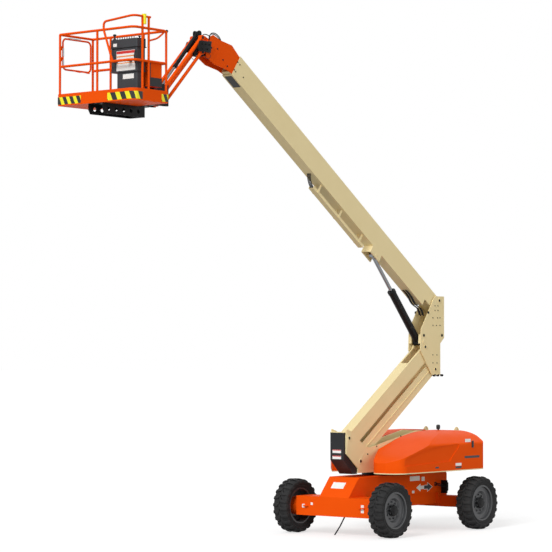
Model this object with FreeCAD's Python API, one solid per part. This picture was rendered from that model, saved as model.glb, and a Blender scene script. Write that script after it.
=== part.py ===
"""Articulating boom lift with a telescoping upper boom, as an assembly of separate nodes.

Millimetres, +Z up. +X is the way the upper boom and the platform reach, +Y is the machine's
left side and Z = 0 is the ground. Everything is worked out from the slew axis, which is
X = 0 while modelling, and is moved at the end so that the origin lies under the middle of
the machine's whole length.
"""
import math
import os

import FreeCAD
import Part

V = FreeCAD.Vector
UP = V(0, 0, 1)
ACROSS = V(0, 1, 0)
PARTS_DIR = "parts"
os.makedirs(PARTS_DIR, exist_ok=True)

# ---- driving dimensions (mm, degrees) --------------------------------------------------
# running gear
WHEELBASE = 2500.0
TRACK = 2000.0                 # centre to centre of the tyres
TYRE_RADIUS = 457.0
TYRE_WIDTH = 300.0
RIM_RADIUS = 290.0
RIM_WALL = 12.0
RIM_INSET = 45.0               # bead, inboard of the tyre's side
RIM_FLANGE = 14.0
HUB_RADIUS = 95.0
RIM_DISC_OFFSET = 20.0         # rim disc's inner face outboard of the tyre's middle
HUB_MOTOR_RADIUS = 150.0
LUG_DEPTH = 22.0
LUG_COUNT = 20
AXLE_DEPTH = 440.0             # along X
AXLE_BOTTOM = 320.0
AXLE_TOP = 640.0
AXLE_HALF = 800.0              # half length across the machine
KINGPIN_OFFSET = 770.0         # kingpin from the centre plane
KINGPIN_RADIUS = 35.0
STEER_AXLE_DEPTH = 240.0
STEER_AXLE_BOTTOM = 370.0
STEER_AXLE_TOP = 560.0
STEER_ARM = 190.0              # steering arm, kingpin to tie rod pin
STEER_ARM_SHEET = 24.0
TIE_ROD_RADIUS = 22.0
# chassis
FRAME_HALF = 310.0
FRAME_TOP = 965.0
FRAME_BOTTOM = 420.0
FRAME_FRONT_TOP = 1190.0       # where the sloped front plate meets the deck
FRAME_REAR = 1330.0
# turntable
SLEW_RADIUS = 430.0
DECK_BOTTOM = 1030.0
DECK_PLATE = 16.0
SIDE_PLATE = 15.0
SIDE_GAP_HALF = 148.0          # centre plane to the inner face of a side plate
TURNTABLE_FRONT = 1337.0
TURNTABLE_REAR = -1500.0
PLATE_TOP_FRONT = 1772.0
COVER_FRONT = 1387.0
COVER_SHEET = 6.0
COVER_HALF = 140.0
HOOD_OUTER = 1040.0
HOOD_GAP = 8.0                 # side plate to hood
HOOD_NOSE = 1085.0             # furthest forward, between these two distances from the centre
HOOD_NOSE_INNER = 520.0
HOOD_NOSE_OUTER = 800.0
HOOD_FRONT_INNER = 460.0       # where the slanted fronts start at the inner edge
HOOD_FRONT_OUTER = 930.0       # and at the outer side
HOOD_WALL = 20.0
HOOD_REAR = -1430.0
HOOD_CROWN = 1702.0            # flat top over the tower
HOOD_SIDE_TOP = 1440.0         # where the shoulder turns down into the side
HOOD_REAR_TOP = 1590.0
HOOD_PANEL_DEPTH = 12.0        # sunk panel in the outer side
LIFTING_LUG_X = -1600.0
LIFTING_LUG_Y = 330.0
LIFTING_HOLE_RADIUS = 18.0
LIFTING_HOLE_Z = 1700.0
LIFTING_LUG_SHEET = 20.0
COUNTERWEIGHT_TOP = 1500.0
HOOD_HINGE_Y = 190.0
HOOD_HINGE_Z = 1712.0
TIE_HOLE_RADIUS = 20.0
TIE_PLATE = 20.0
# lower arm, timing link and upright
ARM_PIVOT = (1253.0, 1613.0)
ARM_LENGTH = 2678.0
ARM_ANGLE = 145.2              # from +X, as it stands
LINK_OFFSET = (-308.0, -390.0)  # timing link's pivots from the arm's
ARM_HALF = 105.0
ARM_ABOVE = 20.0               # arm's top above its pivot line
ARM_BELOW = 236.0
ARM_WALL = 8.0
ARM_SLOT = 520.0               # slot in the arm's top, which the boom's cylinder dips into
LINK_HALF = 90.0
LINK_WEB = 10.0
LINK_ABOVE = 171.0
LINK_BELOW = 71.0
LINK_LIP = 60.0                # ledge along each web, above its pivot line
PIN_RADIUS = 30.0
BOSS_RADIUS = 58.0
LOWER_BASE = (1180.0, 1400.0)  # lower lift cylinder's base pin
LOWER_EYE_ALONG = 1500.0       # its rod eye along the arm
LOWER_EYE_BELOW = 100.0        # and below the arm's pivot line
LOWER_EYE_HALF = 45.0
LOWER_BARREL = 75.0            # barrel of that cylinder, radius,
LOWER_BARREL_LENGTH = 1300.0   # and length from its base pin
LOWER_ROD = 40.0
ARM_HEEL = (130.0, 56.0)       # heel cut away for that pin: to here along the arm, and below its line
UPRIGHT_HALF = 134.0
UPRIGHT_PLATE = 14.0
# upper boom
BOOM_OFFSET = (-424.0, 816.6)   # boom's pivot from the arm's upper pivot
BOOM_ANGLE = 34.9
BOOM_HALF = 100.0
BOOM_ABOVE = 39.0              # boom's top above its pivot line
BOOM_HEIGHT = 374.0
BOOM_WALL = 9.0
BOOM_TAIL = -70.0              # along the boom from the pivot
BOOM_TIP = 6560.0
FLY_CLEARANCE = 8.0
PAD_LENGTH = 160.0
FLY_WALL = 8.0
FLY_STROKE = 4900.0
EYE_ALONG = 1888.0             # lift cylinder's eye along the boom
EYE_BELOW = 402.0              # and below its pivot line
LIFT_BASE_OFFSET = (41.0, 88.6) # lift cylinder's base, from the same pivot
LIFT_EYE_HALF = 70.0
BOOM_EYE_PIN = 26.0
BOOM_EYE_HALF = 40.0
# jib
NOSE_ALONG = 664.2             # nose pivot past the boom's mouth
NOSE_BELOW = 428.3             # and below the boom's pivot line
JIB_TOP_OFFSET = (115.0, 210.0) # upper jib pivot from the nose pivot
JIB_OFFSET = 230.0             # lower jib pivot below the upper one
JIB_LENGTH = 1220.0
JIB_ANGLE = -45.3
JIB_TUBE = 30.0
JIB_SPREAD = 86.0              # centre plane to each jib tube
JIB_CYLINDER_RISE = 70.0
JIB_PIN = 24.0
JIB_EYE_HALF = 34.0
JIB_BARREL = 30.0
TONGUE_HALF = 36.0             # boom nose's tongue, between the bracket's cheeks
BRACKET_SHEET = 12.0
YOKE_SHEET = 16.0
NOSE_PIN = 28.0
# platform
ROTATOR_REACH = 346.9          # rotator's axis ahead of the jib's end
ROTATOR_RADIUS = 85.0
PLATFORM_GAP = 320.0           # platform's rear from the rotator's axis
PLATFORM_DEPTH = 758.0
PLATFORM_LENGTH = 1560.0
PLATFORM_DROP = 327.8          # platform's underside below the jib's end
TOE_HEIGHT = 178.0
RAIL_HEIGHT = 1095.0           # above the platform's underside
RAIL_RADIUS = 19.0
POST_RADIUS = 18.0
TOE_WALL = 6.0
FLOOR_THICKNESS = 40.0
DECK_INSET = 70.0              # raised non-slip deck, from the platform's sides
DECK_RISE = 4.0
CORNER_RADIUS = 110.0
CONSOLE_SETBACK = 100.0        # front rail to the console
CONSOLE_DEPTH = 190.0
CONSOLE_WIDTH = 516.0
CONSOLE_FOOT = 90.0            # above the platform's underside: where its base starts,
CONSOLE_WAIST = 440.0          # and ends,
CONSOLE_HEAD = 800.0           # where its overhanging head starts,
CONSOLE_TOP = 925.0            # and its top
HOOP_RISE = 150.0              # guard hoop above the top rail
HOOP_RADIUS = 17.0
GATE_RADIUS = 14.0
GATE_GAP = 16.0
RUNNING = 0.3                  # clearance of faces and pins that move on each other
PIN_STUB = 40.0                # what a side plate's pin reaches into an arm
CLEAR = 5.0                    # between pieces that move past each other

# ---- worked out ------------------------------------------------------------------------
WHEEL_X = WHEELBASE / 2
WHEEL_Y = TRACK / 2
DECK_TOP = DECK_BOTTOM + DECK_PLATE
HOOD_INNER = SIDE_GAP_HALF + SIDE_PLATE + HOOD_GAP
HOOD_BOTTOM = DECK_TOP + RUNNING
HALF_LENGTH = PLATFORM_LENGTH / 2
RAIL_INSET = TOE_WALL + RAIL_RADIUS


def unit(angle):
    """Unit vector in the XZ plane at an angle up from +X."""
    return V(math.cos(math.radians(angle)), 0, math.sin(math.radians(angle)))


def at(point, y=0.0):
    """A 3-D point from an (x, z) pair."""
    return V(point[0], y, point[1])


def shift(point, angle, along, above=0.0):
    """An (x, z) pair moved along a direction and square to it (to the left of it)."""
    d = unit(angle)
    return (point[0] + d.x * along - d.z * above, point[1] + d.z * along + d.x * above)


ARM_UPPER = shift(ARM_PIVOT, ARM_ANGLE, ARM_LENGTH)
LINK_LOWER = (ARM_PIVOT[0] + LINK_OFFSET[0], ARM_PIVOT[1] + LINK_OFFSET[1])
LINK_UPPER = (ARM_UPPER[0] + LINK_OFFSET[0], ARM_UPPER[1] + LINK_OFFSET[1])
BOOM_PIVOT = (ARM_UPPER[0] + BOOM_OFFSET[0], ARM_UPPER[1] + BOOM_OFFSET[1])
LIFT_BASE = (ARM_UPPER[0] + LIFT_BASE_OFFSET[0], ARM_UPPER[1] + LIFT_BASE_OFFSET[1])
EYE = shift(BOOM_PIVOT, BOOM_ANGLE, EYE_ALONG, -EYE_BELOW)
NOSE_PIVOT = shift(BOOM_PIVOT, BOOM_ANGLE, BOOM_TIP + NOSE_ALONG, -NOSE_BELOW)
JIB_TOP_PIVOT = (NOSE_PIVOT[0] + JIB_TOP_OFFSET[0], NOSE_PIVOT[1] + JIB_TOP_OFFSET[1])
JIB_TOP_END = shift(JIB_TOP_PIVOT, JIB_ANGLE, JIB_LENGTH)
JIB_LOW_PIVOT = (JIB_TOP_PIVOT[0], JIB_TOP_PIVOT[1] - JIB_OFFSET)
JIB_LOW_END = (JIB_TOP_END[0], JIB_TOP_END[1] - JIB_OFFSET)
JIB_CYLINDER_PIVOT = (JIB_TOP_PIVOT[0], JIB_TOP_PIVOT[1] + JIB_CYLINDER_RISE)
ROTATOR_X = JIB_TOP_END[0] + ROTATOR_REACH
PLATFORM_REAR = ROTATOR_X + PLATFORM_GAP
PLATFORM_FRONT = PLATFORM_REAR + PLATFORM_DEPTH
PLATFORM_BOTTOM = JIB_TOP_END[1] - PLATFORM_DROP
RAIL_TOP = PLATFORM_BOTTOM + RAIL_HEIGHT
MID_RAIL = (PLATFORM_BOTTOM + TOE_HEIGHT + RAIL_TOP) / 2 - 45.0
ORIGIN_X = (PLATFORM_FRONT - WHEEL_X - TYRE_RADIUS) / 2


# ---- shape helpers -----------------------------------------------------------------------
def box(x0, x1, y0, y1, z0, z1):
    return Part.makeBox(x1 - x0, y1 - y0, z1 - z0, V(x0, y0, z0))


def cyl(base, axis, radius, length):
    return Part.makeCylinder(radius, length, base, axis)


def pin(point, radius, y0, y1):
    """A cylinder across the machine at an (x, z) point."""
    return cyl(at(point, y0), ACROSS, radius, y1 - y0)


def ring(point, outer, inner, y0, y1):
    return pin(point, outer, y0, y1).cut(pin(point, inner, y0 - 1, y1 + 1))


def rod_between(a, b, radius):
    return cyl(a, b.sub(a), radius, b.sub(a).Length)


def tube_between(a, b, outer, inner):
    return rod_between(a, b, outer).cut(rod_between(a, b, inner))


def rounded_wire(points, radius):
    """Closed wire through 3-D points, with each corner turned by an arc."""
    count = len(points)
    radii = radius if isinstance(radius, (list, tuple)) else [radius] * count
    ends = []
    edges = []
    for i in range(count):
        before, here, after = points[i - 1], points[i], points[(i + 1) % count]
        if radii[i] <= 0:
            ends.append((here, here))
            continue
        u = before.sub(here).normalize()
        w = after.sub(here).normalize()
        half = math.acos(max(-1.0, min(1.0, u.dot(w)))) / 2
        reach = radii[i] / math.tan(half)
        middle = here.add(u.add(w).normalize().multiply(radii[i] / math.sin(half) - radii[i]))
        a = here.add(V(u).multiply(reach))
        b = here.add(V(w).multiply(reach))
        ends.append((a, b))
        edges.append((i, Part.Arc(a, middle, b).toShape()))
    arcs = dict(edges)
    chain = []
    for i in range(count):
        if i in arcs:
            chain.append(arcs[i])
        start, stop = ends[i][1], ends[(i + 1) % count][0]
        if start.distanceToPoint(stop) > 1e-6:
            chain.append(Part.makeLine(start, stop))
    return Part.Wire(chain)


def side_plate(points, y0, y1, radius=0.0):
    """Plate with an outline of (x, z) pairs, from y0 to y1."""
    wire = rounded_wire([at(p, y0) for p in points], radius)
    return Part.Face(wire).extrude(V(0, y1 - y0, 0))


def flat_plate(points, z0, z1, radius=0.0):
    """Plate with an outline of (x, y) pairs, from z0 to z1."""
    wire = rounded_wire([V(p[0], p[1], z0) for p in points], radius)
    return Part.Face(wire).extrude(V(0, 0, z1 - z0))


def bar(point, angle, along, above, y0, y1, radius=0.0):
    """Box along a slanted member: along and above are (low, high) pairs."""
    corners = [(along[0], above[0]), (along[1], above[0]), (along[1], above[1]), (along[0], above[1])]
    return side_plate([shift(point, angle, s, h) for s, h in corners], y0, y1, radius)


def both_sides(shape):
    return [shape, shape.mirror(V(0, 0, 0), ACROSS)]


def fuse(shapes):
    shapes = list(shapes)
    if len(shapes) == 1:
        return shapes[0]
    return shapes[0].multiFuse(shapes[1:]).removeSplitter()


def bent_tube(points, radius, bend, wall=0.0):
    """Round tube along 3-D points, with arcs of the given radii at the inner points."""
    bends = bend if isinstance(bend, (list, tuple)) else [bend] * (len(points) - 2)
    edges = []
    start = points[0]
    for i in range(1, len(points) - 1):
        here = points[i]
        u = points[i - 1].sub(here).normalize()
        w = points[i + 1].sub(here).normalize()
        half = math.acos(max(-1.0, min(1.0, u.dot(w)))) / 2
        reach = bends[i - 1] / math.tan(half)
        a = here.add(V(u).multiply(reach))
        b = here.add(V(w).multiply(reach))
        middle = here.add(u.add(w).normalize().multiply(bends[i - 1] * (1 / math.sin(half) - 1)))
        edges.append(Part.makeLine(start, a))
        edges.append(Part.Arc(a, middle, b).toShape())
        start = b
    edges.append(Part.makeLine(start, points[-1]))
    spine = Part.Wire(edges)
    direction = points[1].sub(points[0])
    outer = Part.Wire(Part.makeCircle(radius, points[0], direction))
    solid = spine.makePipeShell([outer], True, False)
    if wall:
        inner = Part.Wire(Part.makeCircle(radius - wall, points[0], direction))
        solid = solid.cut(spine.makePipeShell([inner], True, False))
    return solid


def solids_of(shape):
    """One solid, or a compound of the separate solids that share a node."""
    solids = shape.Solids
    return solids[0] if len(solids) == 1 else Part.makeCompound(solids)


NODES = {}


def node(name, shapes):
    shape = fuse(shapes) if isinstance(shapes, (list, tuple)) else shapes
    NODES[name] = solids_of(shape)


# ---- chassis ---------------------------------------------------------------------------
def chassis_frame():
    front = WHEEL_X + AXLE_DEPTH / 2
    outline = [
        (front, AXLE_TOP), (FRAME_FRONT_TOP, FRAME_TOP), (-FRAME_REAR, FRAME_TOP),
        (-FRAME_REAR, STEER_AXLE_TOP), (-WHEEL_X + STEER_AXLE_DEPTH / 2, STEER_AXLE_TOP),
        (-WHEEL_X + STEER_AXLE_DEPTH / 2, FRAME_BOTTOM), (WHEEL_X - AXLE_DEPTH / 2, FRAME_BOTTOM),
        (WHEEL_X - AXLE_DEPTH / 2, AXLE_TOP),
    ]
    radii = [0, 20, 40, 0, 0, 0, 0, 0]
    frame = side_plate(outline, -FRAME_HALF, FRAME_HALF, radii)
    inner = FRAME_TOP - 350.0
    for y in (-FRAME_HALF - 1, FRAME_HALF - 40.0):
        cut_end = WHEEL_X - AXLE_DEPTH / 2 + 1
        cut_start = -WHEEL_X + STEER_AXLE_DEPTH / 2 + 60.0
        frame = frame.cut(box(cut_start, cut_end, y, y + 41.0, FRAME_BOTTOM - 1, inner))
    return frame


def tie_downs():
    """Lashing eyes on the drive axle: name, point, axis, hole radius and length."""
    x = WHEEL_X + AXLE_DEPTH / 2 + 20.0
    z = (AXLE_BOTTOM + AXLE_TOP) / 2
    eyes = []
    for name, y in (("tie_down_front_left", 590.0), ("tie_down_front_right", -590.0)):
        eyes.append((name, (x, y, z), [0, 0, 1], TIE_HOLE_RADIUS, TIE_PLATE))
    return eyes


def drive_axle():
    x0, x1 = WHEEL_X - AXLE_DEPTH / 2, WHEEL_X + AXLE_DEPTH / 2
    beam = box(x0, x1, -AXLE_HALF, AXLE_HALF, AXLE_BOTTOM, AXLE_TOP)
    pieces = [beam]
    for name, point, axis, radius, length in tie_downs():
        if "front" in name:
            y, low = point[1], point[2] - length / 2
            eye = flat_plate([(x1 - 1, y - 55), (x1 + 45, y - 40), (x1 + 45, y + 40), (x1 - 1, y + 55)],
                             low, low + length, [0, 25, 25, 0])
            pieces.append(eye.cut(cyl(V(point[0], y, low - 1), UP, radius, length + 2)))
    reach = WHEEL_Y + RIM_DISC_OFFSET - RUNNING
    for side in (-1, 1):
        pieces.append(cyl(V(WHEEL_X, side * (AXLE_HALF - 5), TYRE_RADIUS), V(0, side, 0),
                          HUB_MOTOR_RADIUS, reach - AXLE_HALF + 5))
    return fuse(pieces)


def steer_axle():
    x0, x1 = -WHEEL_X - STEER_AXLE_DEPTH / 2, -WHEEL_X + STEER_AXLE_DEPTH / 2
    half = KINGPIN_OFFSET - 75.0
    mid = -WHEEL_X
    plan = [(x0, -half + 175), (mid - 100, -half + 75), (mid - 36, -half), (mid + 36, -half), (mid + 100, -half + 75),
            (x1, -half + 175), (x1, half - 175), (mid + 100, half - 75), (mid + 36, half), (mid - 36, half),
            (mid - 100, half - 75), (x0, half - 175)]
    beam = flat_plate(plan, STEER_AXLE_BOTTOM, STEER_AXLE_TOP)
    pieces = [beam]
    for side in (-1, 1):
        for z0, z1 in ((STEER_AXLE_BOTTOM, STEER_AXLE_BOTTOM + 35), (STEER_AXLE_TOP - 35, STEER_AXLE_TOP)):
            ear = flat_plate([(mid - 60, side * (half - 40)), (mid + 60, side * (half - 40)),
                              (mid + 60, side * KINGPIN_OFFSET), (mid - 60, side * KINGPIN_OFFSET)], z0, z1)
            tip = cyl(V(-WHEEL_X, side * KINGPIN_OFFSET, z0), UP, 60.0, z1 - z0)
            pieces += [ear, tip]
        pieces.append(cyl(V(-WHEEL_X, side * KINGPIN_OFFSET, STEER_AXLE_BOTTOM - 12), UP,
                          KINGPIN_RADIUS, STEER_AXLE_TOP - STEER_AXLE_BOTTOM + 24))
    return fuse(pieces)


def steer_knuckle(side):
    low, high = STEER_AXLE_BOTTOM + 35 + RUNNING, STEER_AXLE_TOP - 35 - RUNNING
    centre = V(-WHEEL_X, side * KINGPIN_OFFSET, low)
    barrel = cyl(centre, UP, 58.0, high - low)
    spindle = cyl(V(-WHEEL_X, side * (KINGPIN_OFFSET + 40), TYRE_RADIUS), V(0, side, 0),
                  48.0, WHEEL_Y - KINGPIN_OFFSET - 40 + RIM_DISC_OFFSET - RUNNING)
    flange = cyl(V(-WHEEL_X, side * (KINGPIN_OFFSET + 62), TYRE_RADIUS), V(0, side, 0), 80.0, 22.0)
    arm = box(-WHEEL_X - STEER_ARM - 30, -WHEEL_X - 20, side * KINGPIN_OFFSET - 28,
              side * KINGPIN_OFFSET + 28, low + CLEAR, low + CLEAR + STEER_ARM_SHEET)
    bore = cyl(V(-WHEEL_X, side * KINGPIN_OFFSET, low - 1), UP, KINGPIN_RADIUS + RUNNING, high - low + 2)
    return fuse([barrel, spindle, flange, arm]).cut(bore)


def tie_rod():
    z = STEER_AXLE_BOTTOM + 35 + 2 * RUNNING + CLEAR + STEER_ARM_SHEET
    x = -WHEEL_X - STEER_ARM
    lip = 4.0
    eyes = [cyl(V(x, side * KINGPIN_OFFSET, z), UP, 28.0, 2 * (TIE_ROD_RADIUS + lip)) for side in (-1, 1)]
    rod = cyl(V(x, -KINGPIN_OFFSET, z + TIE_ROD_RADIUS + lip), ACROSS, TIE_ROD_RADIUS, 2 * KINGPIN_OFFSET)
    return fuse(eyes + [rod])


# ---- wheels ----------------------------------------------------------------------------
def revolve_y(profile, centre_y, side):
    """Solid of revolution about the wheel's axle from (radius, offset outward) pairs."""
    points = [V(0, side * p[1], p[0]) for p in profile]
    points.append(points[0])
    face = Part.Face(Part.makePolygon(points))
    solid = face.revolve(V(0, 0, 0), ACROSS, 360)
    solid.translate(V(0, centre_y, TYRE_RADIUS))
    return solid


def tyre_outline(crown):
    """Half section of the tyre for a crown radius, as (radius, offset) pairs."""
    half = TYRE_WIDTH / 2
    bead, flange = half - RIM_INSET, RIM_RADIUS + RIM_FLANGE
    return [(RIM_RADIUS, -bead), (flange, -bead), (flange + 34, -half + 8), (crown - 60, -half),
            (crown - 12, -half + 28), (crown, -half + 70), (crown, half - 70), (crown - 12, half - 28),
            (crown - 60, half), (flange + 34, half - 8), (flange, bead), (RIM_RADIUS, bead)]


def tyre(x, side):
    body = revolve_y(tyre_outline(TYRE_RADIUS - LUG_DEPTH), side * WHEEL_Y, side)
    body.translate(V(x, 0, 0))
    envelope = revolve_y(tyre_outline(TYRE_RADIUS), side * WHEEL_Y, side)
    envelope.translate(V(x, 0, 0))
    lugs = [lug.common(envelope) for lug in tyre_lugs(x, side)]
    return fuse([body] + lugs)


def tyre_lugs(x, side):
    """Alternating bar lugs, each from the shoulder to just past the middle of the crown."""
    half = TYRE_WIDTH / 2
    lugs = []
    for i in range(LUG_COUNT):
        hand = 1 if i % 2 else -1
        lug = lug_bar(half, hand)
        lug.rotate(V(0, 0, 0), ACROSS, 360.0 * i / LUG_COUNT)
        lug.translate(V(x, side * WHEEL_Y, TYRE_RADIUS))
        lugs.append(lug)
    return lugs


def lug_bar(half, hand):
    inner, outer = TYRE_RADIUS - LUG_DEPTH - 70.0, TYRE_RADIUS + 10
    points = [V(-30, -12 * hand, inner), V(30, -12 * hand, inner), V(70, half * hand, inner),
              V(10, half * hand, inner)]
    points.append(points[0])
    return Part.Face(Part.makePolygon(points)).extrude(V(0, 0, outer - inner))


def rim(x, side):
    bead, flange, lip = TYRE_WIDTH / 2 - RIM_INSET, RIM_RADIUS + RIM_FLANGE, 12.0
    barrel = [(RIM_RADIUS - RIM_WALL, -bead - lip), (flange, -bead - lip), (flange, -bead), (RIM_RADIUS, -bead),
              (RIM_RADIUS, bead), (flange, bead), (flange, bead + lip), (RIM_RADIUS - RIM_WALL, bead + lip)]
    face = RIM_DISC_OFFSET
    disc = [(0, face), (HUB_MOTOR_RADIUS + 30, face), (HUB_MOTOR_RADIUS + 60, face + 40),
            (RIM_RADIUS - RIM_WALL + 1, face + 40), (RIM_RADIUS - RIM_WALL + 1, face + 54),
            (HUB_MOTOR_RADIUS + 52, face + 54), (HUB_MOTOR_RADIUS + 22, face + 14), (0, face + 14)]
    hub = [(0, face + 13), (HUB_RADIUS, face + 13), (HUB_RADIUS, face + 50), (HUB_RADIUS - 20, face + 72),
           (0, face + 72)]
    shapes = [revolve_y(profile, side * WHEEL_Y, side) for profile in (barrel, disc, hub)]
    solid = fuse(shapes)
    solid.translate(V(x, 0, 0))
    return solid


# ---- turntable -------------------------------------------------------------------------
def slew_ring():
    outer = cyl(V(0, 0, FRAME_TOP), UP, SLEW_RADIUS, DECK_BOTTOM - FRAME_TOP - RUNNING)
    return outer.cut(cyl(V(0, 0, FRAME_TOP - 1), UP, SLEW_RADIUS - 90, DECK_BOTTOM - FRAME_TOP + 2))


def turntable_plate_outline():
    return [(TURNTABLE_FRONT, PLATE_TOP_FRONT), (TURNTABLE_FRONT, 1357), (1020, 1103), (1020, DECK_BOTTOM),
            (TURNTABLE_REAR, DECK_BOTTOM), (TURNTABLE_REAR, 1655), (-650, 1700), (664, 1450), (814, 1465),
            (1204, PLATE_TOP_FRONT - 40)]


def turntable_frame():
    outer = SIDE_GAP_HALF + SIDE_PLATE
    plates = both_sides(side_plate(turntable_plate_outline(), SIDE_GAP_HALF, outer, 8.0))
    deck = box(TURNTABLE_REAR, 1020, -outer, outer, DECK_BOTTOM, DECK_TOP)
    corners, radii = hood_plan(0.0)
    tray = both_sides(flat_plate(corners, DECK_BOTTOM, DECK_TOP, radii))
    tray += both_sides(box(HOOD_REAR, HOOD_FRONT_INNER, outer - 1, HOOD_INNER + 1, DECK_BOTTOM, DECK_TOP))
    front = box(TURNTABLE_FRONT - 12, TURNTABLE_FRONT, -SIDE_GAP_HALF, SIDE_GAP_HALF, 1357, PLATE_TOP_FRONT - 60)
    cap = box(TURNTABLE_FRONT - 60, COVER_FRONT - 5, -SIDE_GAP_HALF, SIDE_GAP_HALF,
              PLATE_TOP_FRONT - 60, PLATE_TOP_FRONT - 48)
    pieces = plates + tray + [deck, front, cap]
    pieces.append(pin(LOWER_BASE, PIN_RADIUS, -outer, outer))
    for point, reach in ((ARM_PIVOT, SIDE_GAP_HALF - PIN_STUB), (LINK_LOWER, LINK_HALF - LINK_WEB)):
        pieces += both_sides(pin(point, PIN_RADIUS, reach, outer + 6))
        pieces += both_sides(pin(point, PIN_RADIUS + 12, outer, outer + 6))
    pieces += both_sides(box(TURNTABLE_REAR, HOOD_REAR - 20, outer - 1, outer + 60, DECK_BOTTOM - 14, DECK_BOTTOM))
    return fuse(pieces)




def lifting_lugs():
    """Plates that stand up behind the hoods, each with a shackle hole."""
    shapes = []
    x, z = LIFTING_LUG_X, LIFTING_HOLE_Z
    for side in (-1, 1):
        y0 = side * LIFTING_LUG_Y - LIFTING_LUG_SHEET / 2
        y1 = y0 + LIFTING_LUG_SHEET
        lug = side_plate([(x - 60, COUNTERWEIGHT_TOP), (x + 90, COUNTERWEIGHT_TOP), (x + 60, z), (x, z + 45),
                          (x - 60, z)], y0, y1, [0, 0, 20, 30, 20])
        shapes.append(lug.cut(pin((x, z), LIFTING_HOLE_RADIUS, y0 - 1, y1 + 1)))
    return shapes


def counterweight():
    outer = SIDE_GAP_HALF + SIDE_PLATE
    top = COUNTERWEIGHT_TOP
    rear, front = TURNTABLE_REAR - 190, HOOD_REAR - 20
    block = flat_plate([(rear, -760), (rear, 760), (front, 960), (front, -960)], DECK_BOTTOM, top, [120, 120, 0, 0])
    slot = box(rear - 1, 0, -outer, outer, DECK_BOTTOM - 1, top + 1)
    block = block.cut(slot)
    for lug in lifting_lugs():
        block = block.fuse(lug)
    return block


def front_cover():
    outline = [(COVER_FRONT, 1259), (COVER_FRONT, 1711), (TURNTABLE_FRONT, 1711), (TURNTABLE_FRONT, 1270),
               (1120, 1028), (1020, 1028), (1020, 1015), (1138, 1015)]
    cheek = [(COVER_FRONT - 1, 1262), (COVER_FRONT - 1, 1355), (1320, 1355), (1030, 1108), (1030, 1025),
             (1132, 1020)]
    cheeks = both_sides(side_plate(cheek, COVER_HALF - COVER_SHEET, COVER_HALF))
    return fuse([side_plate(outline, -COVER_HALF, COVER_HALF)] + cheeks)


def hood_plan(inset):
    """Outline of the left hood seen from above, and the radii of its corners."""
    outer = HOOD_OUTER - inset
    corners = [(HOOD_REAR + inset, HOOD_INNER), (HOOD_FRONT_INNER - inset, HOOD_INNER),
               (HOOD_NOSE - inset, HOOD_NOSE_INNER), (HOOD_NOSE - inset, HOOD_NOSE_OUTER),
               (HOOD_FRONT_OUTER - inset, outer), (HOOD_REAR + inset, outer)]
    return corners, [0, 0, 200, 160, 220 - inset, 60]


def curve(points):
    spline = Part.BSplineCurve()
    spline.interpolate(points)
    return spline.toShape()


def hood_crown(inset):
    """Slab whose top is the hood's long falling line, seen from the side."""
    line = [(HOOD_NOSE + 72, 1150), (HOOD_NOSE + 50, 1175), (985, 1262), (700, 1352), (410, 1430), (154, 1508),
            (-101, 1586), (-384, 1646), (-720, 1684), (-1100, HOOD_CROWN - 5), (HOOD_REAR + 100, HOOD_CROWN - 12)]
    top = [V(x - inset / 2, 0, z - inset) for x, z in line]
    nose = V(HOOD_NOSE + 75 - inset / 2, 0, 1120 - inset)
    back = V(HOOD_REAR + inset, 0, HOOD_REAR_TOP - inset)
    knee = V(HOOD_REAR + inset + 30, 0, (HOOD_REAR_TOP + HOOD_CROWN) / 2 + 9 - inset)
    low = HOOD_BOTTOM - 1
    edges = [curve([nose] + top), Part.Arc(top[-1], knee, back).toShape(),
             Part.makeLine(back, V(back.x, 0, low)), Part.makeLine(V(back.x, 0, low), V(nose.x, 0, low)),
             Part.makeLine(V(nose.x, 0, low), nose)]
    return Part.Face(Part.Wire(edges)).extrude(ACROSS * (HOOD_OUTER + 100))


def hood_shoulder(inset):
    """Slab whose section rounds the top over into the outer side."""
    x, inner, outer, low = HOOD_REAR - 100, HOOD_INNER - 1, HOOD_OUTER - inset, HOOD_BOTTOM - 1
    line = [(430, HOOD_CROWN), (600, HOOD_CROWN - 12), (760, HOOD_CROWN - 47), (900, HOOD_CROWN - 112),
            (HOOD_OUTER - 55, HOOD_SIDE_TOP + 90), (HOOD_OUTER - 8, HOOD_SIDE_TOP + 50), (HOOD_OUTER, HOOD_SIDE_TOP)]
    turn = [V(x, min(y, outer), z - inset) for y, z in line]
    turn[-2].y = outer - 8
    start, foot, edge = V(x, inner, turn[0].z), V(x, inner, low), V(x, outer, low)
    edges = [Part.makeLine(start, turn[0]), curve(turn), Part.makeLine(turn[-1], edge),
             Part.makeLine(edge, foot), Part.makeLine(foot, start)]
    return Part.Face(Part.Wire(edges)).extrude(V(1, 0, 0) * (HOOD_NOSE - HOOD_REAR + 400))


def hood_body(inset):
    """Closed form of the left hood, drawn in by an inset on every side but the inner one."""
    corners, radii = hood_plan(inset)
    block = flat_plate(corners, HOOD_BOTTOM, HOOD_CROWN + 100, radii)
    return hood_crown(inset).common(block).common(hood_shoulder(inset))


def hood_panel():
    """Block that sinks the long panel into the hood's outer side."""
    outline = [(975, 1222), (864, 1278), (410, 1398), (-105, 1462), (-690, 1490), (-640, 1420), (-388, 1200),
               (900, 1160)]
    return side_plate(outline, HOOD_OUTER - HOOD_PANEL_DEPTH, HOOD_OUTER + 50, [15, 60, 0, 0, 20, 20, 60, 15])


def hood():
    cavity = hood_body(HOOD_WALL)
    foot = cavity.copy()
    foot.translate(V(0, 0, -2))
    return hood_body(0.0).cut(hood_panel()).cut(fuse([cavity, foot]))


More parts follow.
